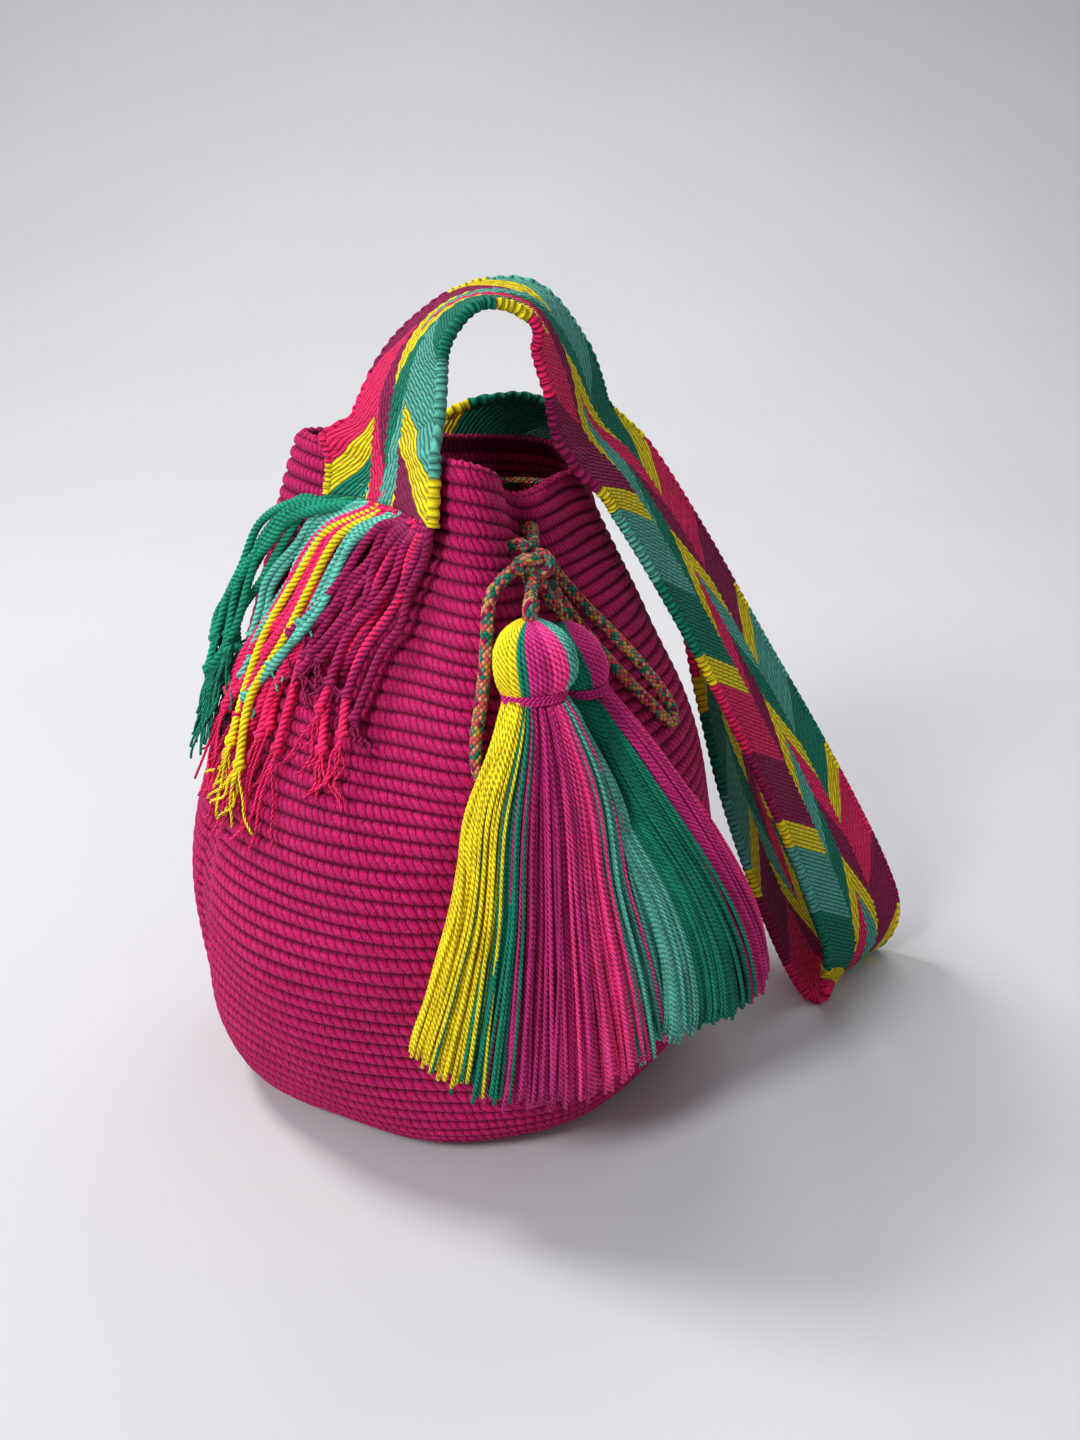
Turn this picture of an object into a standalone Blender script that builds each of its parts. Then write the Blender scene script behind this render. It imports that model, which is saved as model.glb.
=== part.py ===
"""Crocheted bucket bag with a woven shoulder strap, a laced drawstring and two yarn tassels.

Metres, +Z up.  The bag stands on the floor with the centre of its base at the origin, its front
faces -Y.  Angles are turns about the bag's upright axis: 0 is the front, positive goes to +X.
"""

import math

import bmesh
import bpy
import numpy as np
from mathutils import Vector

# ---------------------------------------------------------------- driving dimensions (metres)
WALL = 0.0045
TOUCH_GAP = 0.0004
STRAP_WIDTH = 0.070
STRAP_THICKNESS = 0.004
CORD_DIAMETER = 0.0055
EYELET_RADIUS = 0.0046
EYELETS = ((22.0, 0.2765), (42.0, 0.2745))
KNOT_ANGLE = 27.0
KNOT_HEIGHT = 0.2685
KNOT_REACH = 0.0890
KNOT_RADIUS = 0.0088

# Side profile of the bag when it is round: (radius, height) from the middle of the base to the rim.
PROFILE = (
    (0.0, 0.0), (0.045, 0.0), (0.092, 0.0), (0.114, 0.010), (0.1255, 0.034), (0.1305, 0.070),
    (0.1305, 0.105), (0.124, 0.145), (0.111, 0.185), (0.094, 0.222), (0.076, 0.258), (0.059, 0.298),
)
# Plan of the gathered rim: (angle in degrees, radius).  The long tube fold stands at 12 degrees.
RIM_PLAN = (
    (-180, 0.060), (-150, 0.052), (-130, 0.062), (-112, 0.072), (-96, 0.054), (-82, 0.038),
    (-66, 0.031), (-50, 0.0295), (-34, 0.031), (-16, 0.037), (-5, 0.046), (4, 0.072), (12, 0.080),
    (20, 0.072), (28, 0.048), (36, 0.043), (55, 0.047), (77, 0.051), (98, 0.058), (115, 0.064),
    (130, 0.074), (145, 0.080), (160, 0.070),
)
# Lift of the rim edge round the mouth: (angle in degrees, height added).
RIM_LIFT = (
    (-180, -0.002), (-110, 0.008), (-60, 0.0), (-10, 0.006), (12, 0.018), (36, -0.012),
    (80, -0.004), (110, -0.014), (150, -0.004),
)
FOLD_START = 0.095
RIM_HEIGHT = PROFILE[-1][1]

# Strap route: (centre of the band, direction across the band).  The ends lie on the bag's wall.
STRAP_ROUTE = (
    ((-0.0225, -0.0345, 0.2855), (-0.66, 0.75, -0.05)),
    ((-0.0215, -0.0325, 0.2990), (-0.64, 0.77, -0.05)),
    ((-0.0200, -0.0270, 0.3190), (-0.60, 0.80, -0.04)),
    ((-0.0150, -0.0160, 0.3400), (-0.42, 0.90, 0.00)),
    ((-0.0050, -0.0080, 0.3560), (-0.24, 0.97, 0.03)),
    ((0.0090, -0.0010, 0.3660), (-0.06, 0.99, 0.03)),
    ((0.0260, 0.0050, 0.3675), (0.10, 0.99, 0.03)),
    ((0.0420, 0.0100, 0.3600), (0.20, 0.97, 0.03)),
    ((0.0550, 0.0130, 0.3370), (0.30, 0.95, 0.05)),
    ((0.0650, 0.0170, 0.3090), (0.36, 0.93, 0.06)),
    ((0.0860, 0.0220, 0.2850), (0.38, 0.92, 0.10)),
    ((0.1130, 0.0240, 0.2430), (0.38, 0.92, 0.14)),
    ((0.1450, 0.0280, 0.1870), (0.40, 0.90, 0.16)),
    ((0.1810, 0.0300, 0.1210), (0.50, 0.85, 0.18)),
    ((0.2120, 0.0310, 0.0560), (0.64, 0.77, 0.14)),
    ((0.2210, 0.0340, 0.0230), (0.70, 0.71, 0.05)),
    ((0.2120, 0.0390, 0.0040), (0.66, 0.75, 0.00)),
    ((0.1960, 0.0460, 0.0200), (0.55, 0.83, 0.00)),
    ((0.1710, 0.0520, 0.0680), (0.42, 0.90, 0.02)),
    ((0.1500, 0.0570, 0.1210), (0.34, 0.94, 0.04)),
    ((0.1360, 0.0640, 0.1680), (0.30, 0.95, 0.02)),
    ((0.1260, 0.0740, 0.2070), (0.30, 0.93, -0.05)),
    ((0.1100, 0.0850, 0.2440), (0.34, 0.90, -0.20)),
    ((0.0820, 0.0960, 0.2720), (0.42, 0.80, -0.38)),
    ((0.0500, 0.0980, 0.2850), (0.52, 0.68, -0.48)),
    ((0.0230, 0.0900, 0.2840), (0.62, 0.60, -0.50)),
    ((0.0020, 0.0800, 0.2720), (0.74, 0.50, -0.42)),
    ((-0.0080, 0.0740, 0.2560), (0.80, 0.48, -0.34)),
)
STRAP_STATIONS = 72

# Fringe of the strap's twisted ends: (place across, angle at the strap, angle of the tips, tip height).
FRINGE = (
    (-1.00, -80.0, -84.0, 0.176), (-0.70, -68.0, -74.0, 0.166), (-0.40, -55.0, -61.0, 0.158),
    (-0.10, -42.0, -48.0, 0.150), (0.20, -30.0, -38.0, 0.150), (0.50, -19.0, -30.0, 0.166),
    (0.80, -10.0, -24.0, 0.190), (1.00, -5.0, -18.0, 0.215),
)
FRINGE_TOP = 0.2822
FRINGE_THICKNESS = 0.009
FRINGE_GAP = 0.0014

# Tassel sections from the top down:
# (height, angle, half width, gap behind, thickness, how far the section wraps round the bag 0-1)
TASSEL_FRONT = (
    (0.2550, 19.5, 0.0050, 0.0175, 0.0080, 0.0), (0.2520, 19.5, 0.0115, 0.0140, 0.0170, 0.0),
    (0.2465, 19.5, 0.0155, 0.0115, 0.0230, 0.0), (0.2395, 19.5, 0.0165, 0.0100, 0.0250, 0.0),
    (0.2335, 19.5, 0.0155, 0.0095, 0.0220, 0.0), (0.2290, 19.3, 0.0125, 0.0095, 0.0165, 0.1),
    (0.2260, 19.3, 0.0120, 0.0100, 0.0155, 0.1), (0.2210, 19.3, 0.0160, 0.0112, 0.0170, 0.4),
    (0.2070, 19.3, 0.0215, 0.0112, 0.0170, 0.8), (0.1850, 19.3, 0.0290, 0.0092, 0.0170, 1.0),
    (0.1550, 19.3, 0.0390, 0.0055, 0.0170, 1.0), (0.1200, 19.3, 0.0490, 0.0045, 0.0160, 1.0),
    (0.0880, 19.3, 0.0570, 0.0040, 0.0155, 1.0), (0.0540, 19.3, 0.0640, 0.0060, 0.0150, 1.0),
)
TASSEL_SIDE = (
    (0.2420, 36.0, 0.0040, 0.0125, 0.0070, 0.0), (0.2395, 36.0, 0.0090, 0.0090, 0.0140, 0.0),
    (0.2340, 36.3, 0.0125, 0.0070, 0.0190, 0.0), (0.2275, 36.6, 0.0130, 0.0062, 0.0210, 0.0),
    (0.2220, 36.9, 0.0120, 0.0062, 0.0190, 0.0), (0.2180, 37.3, 0.0100, 0.0066, 0.0150, 0.1),
    (0.2150, 37.6, 0.0098, 0.0066, 0.0145, 0.1), (0.2090, 38.6, 0.0115, 0.0066, 0.0180, 0.4),
    (0.1940, 41.2, 0.0140, 0.0066, 0.0210, 0.8), (0.1700, 45.2, 0.0170, 0.0066, 0.0230, 1.0),
    (0.1380, 50.3, 0.0205, 0.0066, 0.0240, 1.0), (0.1060, 55.0, 0.0240, 0.0080, 0.0240, 1.0),
    (0.0700, 59.5, 0.0285, 0.0100, 0.0240, 1.0),
)
BINDING_FRONT_HEIGHTS = (0.2292, 0.2258)
BINDING_SIDE_HEIGHTS = (0.2182, 0.2148)
BINDING_THICKNESS = 0.0016

# Free loops of the bow: (angle, height, gap between the bag and the cord's middle).
LOOP_LEFT = (
    (21.0, 0.2720, 0.0048), (16.5, 0.2690, 0.0036), (13.0, 0.2620, 0.0036), (11.8, 0.2500, 0.0036),
    (11.0, 0.2380, 0.0036), (9.8, 0.2240, 0.0036), (8.4, 0.2080, 0.0036), (8.6, 0.1960, 0.0036),
    (11.6, 0.1890, 0.0032), (15.6, 0.1930, 0.0032), (18.6, 0.2050, 0.0032), (20.8, 0.2200, 0.0032),
    (22.4, 0.2360, 0.0032), (24.2, 0.2480, 0.0034), (26.0, 0.2560, 0.0060),
)
LOOP_RIGHT = (
    (36.5, 0.2650, 0.0190), (43.5, 0.2620, 0.0070), (49.0, 0.2530, 0.0036), (54.0, 0.2410, 0.0036),
    (60.0, 0.2280, 0.0036), (66.0, 0.2120, 0.0036), (70.0, 0.1970, 0.0036), (70.5, 0.1870, 0.0036),
    (67.0, 0.1860, 0.0036), (62.5, 0.1960, 0.0036), (57.0, 0.2100, 0.0036), (52.0, 0.2240, 0.0036),
    (47.5, 0.2380, 0.0036), (43.5, 0.2500, 0.0050), (36.5, 0.2570, 0.0150),
)
CORD_STEP = 0.0135


# ---------------------------------------------------------------- shared shape functions
def smooth_route(points, count):
    """A smooth curve through the given points, as an array of count rows."""
    pts = np.array(points, dtype=float)
    ext = np.vstack([2.0 * pts[0] - pts[1], pts, 2.0 * pts[-1] - pts[-2]])
    rows = []
    for place in np.linspace(0.0, len(pts) - 1 - 1e-9, count):
        index = int(place)
        f = place - index
        a, b, c, d = ext[index:index + 4]
        rows.append(0.5 * (2 * b + (c - a) * f + (2 * a - 5 * b + 4 * c - d) * f * f
                           + (3 * b - a - 3 * c + d) * f ** 3))
    return np.array(rows)


def even_steps(points, step):
    """The same route walked in equal steps, first and last points kept."""
    lengths = np.linalg.norm(np.diff(points, axis=0), axis=1)
    along = np.concatenate([[0.0], np.cumsum(lengths)])
    count = max(2, int(round(along[-1] / step)) + 1)
    places = np.linspace(0.0, along[-1], count)
    return np.stack([np.interp(places, along, points[:, axis]) for axis in range(3)], axis=1)


def plan_waves(table, harmonics, blur_degrees):
    """Turn an (angle, value) table into smooth waves round the bag."""
    angles = np.array([row[0] for row in table], dtype=float)
    values = np.array([row[1] for row in table], dtype=float)
    angles = np.concatenate([angles - 360.0, angles, angles + 360.0])
    values = np.tile(values, 3)
    grid = np.arange(-180.0, 180.0, 0.5)
    samples = np.interp(grid, angles, values)
    turn = np.radians(grid)
    waves = []
    for k in range(harmonics + 1):
        scale = (2.0 if k else 1.0) * math.exp(-0.5 * (k * math.radians(blur_degrees)) ** 2)
        waves.append((k, scale * (samples * np.cos(k * turn)).mean(),
                      scale * (samples * np.sin(k * turn)).mean()))
    return waves


RIM_WAVES = plan_waves(RIM_PLAN, 36, 3.2)
LIFT_WAVES = plan_waves(RIM_LIFT, 10, 8.0)
PROFILE_CURVE = smooth_route(PROFILE, 400)
PROFILE_LENGTH = np.concatenate(
    [[0.0], np.cumsum(np.linalg.norm(np.diff(PROFILE_CURVE, axis=0), axis=1))])
WALL_LENGTH = float(PROFILE_LENGTH[-1])


def bag_points(theta, along):
    """Outer surface of the bag; theta in radians, along = distance up the wall from the base's middle."""
    theta = np.asarray(theta, dtype=float)
    along = np.asarray(along, dtype=float)
    radius = np.interp(along, PROFILE_LENGTH, PROFILE_CURVE[:, 0])
    height = np.interp(along, PROFILE_LENGTH, PROFILE_CURVE[:, 1])
    rise = np.clip((height - FOLD_START) / (RIM_HEIGHT - FOLD_START), 0.0, 1.0)
    depth = rise * rise * (1.6 - 0.6 * rise)
    fold = np.zeros(np.broadcast(theta, along).shape)
    for k, cos_part, sin_part in RIM_WAVES[1:]:
        fade = np.exp(-k * k * 0.010 * (1.0 - rise) ** 1.5)
        fold = fold + fade * (cos_part * np.cos(k * theta) + sin_part * np.sin(k * theta))
    lift = np.zeros(np.broadcast(theta, along).shape)
    for k, cos_part, sin_part in LIFT_WAVES:
        lift = lift + cos_part * np.cos(k * theta) + sin_part * np.sin(k * theta)
    radius = radius * (1.0 + depth * fold / RIM_WAVES[0][1])
    return np.stack([radius * np.sin(theta), -radius * np.cos(theta), height + lift * rise ** 2], axis=-1)


def bag_normals(theta, along):
    """Outward unit normals of the bag's outer surface."""
    step = 0.0008
    low = np.clip(np.asarray(along, dtype=float) - step, 0.001, WALL_LENGTH)
    high = np.clip(np.asarray(along, dtype=float) + step, 0.001, WALL_LENGTH)
    up = bag_points(theta, high) - bag_points(theta, low)
    around = bag_points(theta + 0.012, along) - bag_points(theta - 0.012, along)
    normal = np.cross(around, up)
    return normal / np.linalg.norm(normal, axis=-1, keepdims=True)


COLUMN_ALONG = np.linspace(0.095, WALL_LENGTH, 260)
MAP_ANGLES = np.radians(np.arange(-180.0, 181.0, 1.0))
MAP_HEIGHTS = np.linspace(0.0, 0.32, 161)
RADIUS_MAP = np.zeros((len(MAP_ANGLES), len(MAP_HEIGHTS)))
for column, map_angle in enumerate(MAP_ANGLES):
    line = bag_points(np.full_like(COLUMN_ALONG, map_angle), COLUMN_ALONG)
    RADIUS_MAP[column] = np.interp(MAP_HEIGHTS, line[:, 2], np.hypot(line[:, 0], line[:, 1]))


def bag_radius(angle_degrees, height):
    """Distance of the bag's outer surface from the upright axis."""
    turn = (angle_degrees + 180.0) % 360.0
    level = min(max(height, 0.0), 0.32) / 0.002
    col = min(int(turn), 359)
    row = min(int(level), 159)
    fc = turn - col
    fr = level - row
    low = RADIUS_MAP[col, row] * (1 - fr) + RADIUS_MAP[col, row + 1] * fr
    high = RADIUS_MAP[col + 1, row] * (1 - fr) + RADIUS_MAP[col + 1, row + 1] * fr
    return low * (1 - fc) + high * fc


def rim_height(angle_degrees):
    """Height of the rim's edge at an angle."""
    return float(bag_points(math.radians(angle_degrees), WALL_LENGTH)[2])


def polar(angle_degrees, radius, height):
    """A point from an angle round the bag, a distance from the axis and a height."""
    turn = math.radians(angle_degrees)
    return np.array([radius * math.sin(turn), -radius * math.cos(turn), height])


def outside(angle_degrees, height, gap):
    """A point the given gap outside the bag's wall."""
    return polar(angle_degrees, bag_radius(angle_degrees, height) + gap, height)


def clear_radius(angle_degrees, height, spread):
    """The largest wall radius within a small spread of angles, so flanks of folds are cleared too."""
    return max(bag_radius(angle_degrees + side * spread, height) for side in (-1.0, -0.5, 0.0, 0.5, 1.0))


# ---------------------------------------------------------------- object helpers
def make_material(name, colour, roughness):
    material = bpy.data.materials.new(name)
    material.use_nodes = True
    shader = material.node_tree.nodes["Principled BSDF"]
    shader.inputs["Base Color"].default_value = (*colour, 1.0)
    shader.inputs["Roughness"].default_value = roughness
    return material


def make_object(name, vertices, faces, material, smooth=True):
    mesh = bpy.data.meshes.new(name)
    mesh.from_pydata([tuple(float(c) for c in v) for v in vertices], [], faces)
    bm = bmesh.new()
    bm.from_mesh(mesh)
    bmesh.ops.recalc_face_normals(bm, faces=bm.faces)
    bm.to_mesh(mesh)
    bm.free()
    for polygon in mesh.polygons:
        polygon.use_smooth = smooth
    mesh.materials.append(material)
    obj = bpy.data.objects.new(name, mesh)
    bpy.context.scene.collection.objects.link(obj)
    return obj


def ring_faces(rings, ring_size):
    """Faces joining closed rings of vertices laid one after another."""
    faces = []
    for r in range(rings - 1):
        for k in range(ring_size):
            n = (k + 1) % ring_size
            faces.append((r * ring_size + k, r * ring_size + n,
                          (r + 1) * ring_size + n, (r + 1) * ring_size + k))
    return faces


def banded_rings(name, rings, material):
    """One closed body from flat rings that go out along one face and back along the other."""
    size = len(rings[0])
    vertices = [p for ring in rings for p in ring]
    faces = ring_faces(len(rings), size)
    last = (len(rings) - 1) * size
    for j in range(size // 2 - 1):
        k = size - 1 - j
        faces.append((j + 1, j, k, k - 1))
        faces.append((last + j, last + j + 1, last + k - 1, last + k))
    return make_object(name, vertices, faces, material)


def capped_rings(name, rings, material):
    """One closed body from a list of equal rings; each end is closed by a fan."""
    size = len(rings[0])
    vertices = [p for ring in rings for p in ring]
    faces = ring_faces(len(rings), size)
    for ring_index in (0, len(rings) - 1):
        centre = len(vertices)
        vertices.append(np.mean(rings[ring_index], axis=0))
        base = ring_index * size
        for k in range(size):
            faces.append((base + k, base + (k + 1) % size, centre))
    return make_object(name, vertices, faces, material)


def cord_object(name, points, material):
    """A round cord along a route, walked in even steps."""
    curve = bpy.data.curves.new(name, "CURVE")
    curve.dimensions = "3D"
    curve.bevel_depth = CORD_DIAMETER / 2.0
    curve.bevel_resolution = 2
    curve.use_fill_caps = True
    spline = curve.splines.new("POLY")
    spline.points.add(len(points) - 1)
    for point, place in zip(spline.points, points):
        point.co = (float(place[0]), float(place[1]), float(place[2]), 1.0)
    curve.materials.append(material)
    obj = bpy.data.objects.new(name, curve)
    bpy.context.scene.collection.objects.link(obj)
    return obj


# ---------------------------------------------------------------- the bag
def column_angles():
    """Angles of the mesh columns, closer together across the front folds."""
    fine = np.arange(-14.0, 48.0, 3.1)
    coarse = np.linspace(48.0, 346.0, 58, endpoint=False)
    return np.radians(np.concatenate([fine, coarse]))


def build_bag(material):
    theta = column_angles()
    columns = len(theta)
    base_rows = [0.046, 0.092]
    wall_rows = list(np.linspace(0.104, WALL_LENGTH, 23))
    outer_rows = base_rows + wall_rows
    vertices = []
    for along in outer_rows:
        vertices.extend(bag_points(theta, np.full(columns, along)))
    inner_along = [wall_rows[i] for i in range(len(wall_rows) - 1, -1, -2)]
    for place, along in enumerate(inner_along):
        points = bag_points(theta, np.full(columns, along))
        normals = bag_normals(theta, np.full(columns, along))
        if place == 0:
            normals[:, 2] = 0.0
            normals /= np.linalg.norm(normals, axis=1, keepdims=True)
        vertices.extend(points - normals * WALL)
    for radius in (0.088, 0.045):
        vertices.extend(np.stack([radius * np.sin(theta), -radius * np.cos(theta),
                                  np.full(columns, WALL)], axis=1))
    rings = len(outer_rows) + len(inner_along) + 2
    faces = ring_faces(rings, columns)
    outer_centre = len(vertices)
    vertices.append(np.array([0.0, 0.0, 0.0]))
    inner_centre = len(vertices)
    vertices.append(np.array([0.0, 0.0, WALL]))
    last = (rings - 1) * columns
    for k in range(columns):
        n = (k + 1) % columns
        faces.append((n, k, outer_centre))
        faces.append((last + k, last + n, inner_centre))
    bag = make_object("bag_body", vertices, faces, material)
    for index, (angle, height) in enumerate(EYELETS):
        centre, normal = eyelet_frame(angle, height)
        cutter = make_cutter("eyelet_cutter_%d" % index, centre, normal)
        modifier = bag.modifiers.new("eyelet", "BOOLEAN")
        modifier.operation = "DIFFERENCE"
        modifier.solver = "EXACT"
        modifier.object = cutter
        bpy.context.view_layer.update()
        evaluated = bag.evaluated_get(bpy.context.evaluated_depsgraph_get())
        cut_mesh = bpy.data.meshes.new_from_object(evaluated)
        bag.modifiers.clear()
        bag.data = cut_mesh
        bpy.data.objects.remove(cutter, do_unlink=True)
    return bag


def eyelet_frame(angle, height):
    """Middle of an eyelet on the outer wall and the wall's outward direction there."""
    centre = outside(angle, height, 0.0)
    east = outside(angle + 3.0, height, 0.0) - outside(angle - 3.0, height, 0.0)
    up = outside(angle, height + 0.004, 0.0) - outside(angle, height - 0.004, 0.0)
    normal = np.cross(east, up)
    return centre, normal / np.linalg.norm(normal)


def make_cutter(name, centre, normal):
    """A short round bar through the wall."""
    axis = Vector([float(c) for c in normal])
    side = axis.orthogonal().normalized()
    other = axis.cross(side)
    rings = []
    for reach in (-0.0085, 0.0070):
        ring = []
        for k in range(12):
            turn = 2.0 * math.pi * (k + 0.5) / 12
            offset = (side * math.cos(turn) + other * math.sin(turn)) * EYELET_RADIUS
            ring.append(centre + np.array(normal) * reach + np.array(offset))
        rings.append(ring)
    return capped_rings(name, rings, bpy.data.materials[0])


# ---------------------------------------------------------------- the strap
def strap_frames():
    """Centre, across and outward directions at each station along the strap."""
    rows = smooth_route([tuple(c) + tuple(w) for c, w in STRAP_ROUTE], 900)
    lengths = np.linalg.norm(np.diff(rows[:, :3], axis=0), axis=1)
    along = np.concatenate([[0.0], np.cumsum(lengths)])
    places = np.linspace(0.0, along[-1], STRAP_STATIONS)
    rows = np.stack([np.interp(places, along, rows[:, i]) for i in range(6)], axis=1)
    centres = rows[:, :3]
    tangents = np.gradient(centres, axis=0)
    tangents /= np.linalg.norm(tangents, axis=1, keepdims=True)
    across = rows[:, 3:]
    across = across - tangents * np.sum(across * tangents, axis=1, keepdims=True)
    across /= np.linalg.norm(across, axis=1, keepdims=True)
    return centres, across, float(along[-1])


def build_strap(material):
    centres, across, length = strap_frames()
    lanes = np.linspace(-0.5, 0.5, 7)
    sheet = np.zeros((len(centres), len(lanes), 3))
    clearance = STRAP_THICKNESS / 2.0 + 0.0012
    for i, (centre, side) in enumerate(zip(centres, across)):
        for j, lane in enumerate(lanes):
            point = centre + side * lane * STRAP_WIDTH
            angle = math.degrees(math.atan2(point[0], -point[1]))
            reach = math.hypot(point[0], point[1])
            need = clear_radius(angle, point[2], 4.0) + clearance
            above = point[2] - rim_height(angle)
            if above < 0.012 and reach < need:
                blend = min(1.0, (0.012 - above) / 0.006)
                point = polar(angle, reach + (need - reach) * blend, point[2])
            point[2] = max(point[2], STRAP_THICKNESS / 2.0)
            sheet[i, j] = point
    along_step = np.gradient(sheet, axis=0)
    across_step = np.gradient(sheet, axis=1)
    normal = np.cross(across_step, along_step)
    normal /= np.linalg.norm(normal, axis=2, keepdims=True)
    half = STRAP_THICKNESS / 2.0
    rings = []
    for i in range(len(centres)):
        edge_a = sheet[i, 0]
        edge_b = sheet[i, -1]
        ring = [edge_a]
        ring.extend(sheet[i, j] + normal[i, j] * half for j in range(len(lanes)))
        ring[1] = ring[1] + (sheet[i, 1] - sheet[i, 0]) * 0.12
        ring[-1] = ring[-1] + (sheet[i, -2] - sheet[i, -1]) * 0.12
        ring.append(edge_b)
        lower = [sheet[i, j] - normal[i, j] * half for j in range(len(lanes) - 1, -1, -1)]
        lower[0] = lower[0] + (sheet[i, -2] - sheet[i, -1]) * 0.12
        lower[-1] = lower[-1] + (sheet[i, 1] - sheet[i, 0]) * 0.12
        ring.extend(lower)
        for point in ring:
            point[2] = max(point[2], 0.0)
        rings.append(ring)
    return capped_rings("strap", rings, material)


# ---------------------------------------------------------------- the fringe
def fringe_row(place):
    table = np.array(FRINGE)
    return [float(np.interp(place, table[:, 0], table[:, i])) for i in (1, 2, 3)]


def build_fringe(material):
    columns = 17
    rows = 11
    outer = np.zeros((rows, columns, 3))
    inner = np.zeros((rows, columns, 3))
    for j in range(columns):
        place = -1.0 + 2.0 * j / (columns - 1)
        top_angle, tip_angle, tip_height = fringe_row(place)
        tip_height += 0.006 * math.sin(place * 17.0)
        for i in range(rows):
            s = i / (rows - 1)
            height = FRINGE_TOP + (tip_height - FRINGE_TOP) * s
            angle = top_angle + (tip_angle - top_angle) * s ** 1.2
            wall = clear_radius(angle, height, 3.0)
            edge = 1.0 - 0.55 * abs(place) ** 6
            thick = FRINGE_THICKNESS * edge * (0.60 + 0.40 * math.sin(math.pi * min(1.0, 0.15 + s)))
            inner[i, j] = polar(angle, wall + FRINGE_GAP, height)
            outer[i, j] = polar(angle, wall + FRINGE_GAP + thick, height)
    rings = []
    for i in range(rows):
        ring = list(outer[i]) + list(inner[i][::-1])
        rings.append(ring)
    return banded_rings("strap_fringe", rings, material)


# ---------------------------------------------------------------- the tassels
def tassel_section(row, points, grow):
    """One closed ring of a tassel; grow widens it all round (used by the binding thread)."""
    height, angle, half_width, gap, thickness, wrap = row
    base = bag_radius(angle, height)
    ring = []
    middle = base + gap + thickness / 2.0
    for k in range(points):
        turn = 2.0 * math.pi * k / points
        sideways = (half_width + grow) * math.copysign(abs(math.cos(turn)) ** 0.85, math.cos(turn))
        outward = (thickness / 2.0 + grow) * math.copysign(abs(math.sin(turn)) ** 0.75, math.sin(turn))
        turn_out = math.degrees(sideways / middle)
        flat_radius = middle / math.cos(math.radians(turn_out))
        wrapped = bag_radius(angle + turn_out, height) + gap + thickness / 2.0
        wrapped = max(wrapped, middle - 0.004)
        radius = flat_radius * (1.0 - wrap) + wrapped * wrap
        ring.append(polar(angle + turn_out, radius + outward, height))
    return ring


def build_tassel(name, table, material, groove):
    """Head and skirt of one tassel; its waist leaves room for the binding thread."""
    rings = [tassel_section(row, 20, -groove if index in (5, 6) else 0.0)
             for index, row in enumerate(table)]
    return capped_rings(name, rings, material)


def build_binding(name, table, heights, material):
    """A wound thread round the tassel's waist, as one closed band."""
    row_a = table[5]
    row_b = table[6]
    rings = []
    top, bottom = heights
    levels = (top, bottom)
    shells = ((0.0, levels), (BINDING_THICKNESS, levels[::-1]))
    for grow, pair in shells:
        for height in pair:
            source = row_a if height == top else row_b
            rings.append(tassel_section((height,) + source[1:], 20, grow))
    size = 20
    vertices = [p for ring in rings for p in ring]
    faces = ring_faces(4, size)
    for k in range(size):
        n = (k + 1) % size
        faces.append((3 * size + k, 3 * size + n, n, k))
    return make_object(name, vertices, faces, material)


# ---------------------------------------------------------------- the drawstring
def knot_centre():
    return polar(KNOT_ANGLE, KNOT_REACH, KNOT_HEIGHT)


def lacing_route():
    """From the knot through one eyelet, round the inside of the mouth and out of the other."""
    knot = knot_centre()
    left_centre, left_normal = eyelet_frame(*EYELETS[0])
    right_centre, right_normal = eyelet_frame(*EYELETS[1])
    inside = []
    for angle in np.linspace(EYELETS[0][0] - 12.0, EYELETS[1][0] - 360.0 + 9.0, 26):
        window = [bag_radius(angle + d, 0.272) for d in (-12, -9, -6, -3, 0, 3, 6, 9, 12)]
        inside.append(polar(angle, min(window) - 0.0125, 0.2735))
    start = knot + (left_centre + left_normal * 0.006 - knot) * 0.88 + np.array([0, 0, 0.003])
    finish = knot + (right_centre + right_normal * 0.006 - knot) * 0.88 + np.array([0, 0, 0.003])
    route = [start, left_centre + left_normal * 0.0055, left_centre, left_centre - left_normal * 0.0075]
    route += inside
    route += [right_centre - right_normal * 0.0075, right_centre, right_centre + right_normal * 0.0055,
              finish]
    return even_steps(smooth_route(route, 500), 0.0115)


def loop_route(table):
    points = [polar(angle, clear_radius(angle, height, 3.0) + gap, height)
              for angle, height, gap in table]
    return even_steps(smooth_route(points, 300), CORD_STEP)


def end_route(table, bow):
    """Short tail from the knot to the top of a tassel's head."""
    knot = knot_centre()
    height, angle, _, gap, thickness, _ = table[0]
    head = polar(angle, bag_radius(angle, height) + gap + thickness / 2.0, height + TOUCH_GAP)
    direction = head - knot
    direction /= np.linalg.norm(direction)
    start = knot + direction * (KNOT_RADIUS * 0.96 + TOUCH_GAP)
    middle = (start + head) / 2.0 + np.array([0.0, 0.0, bow])
    above = head + np.array([0.0, 0.0, 0.0055])
    head = head + np.array([0.0, 0.0, 0.0006])
    return even_steps(smooth_route([start, middle, above, head], 60), 0.0070)


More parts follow.
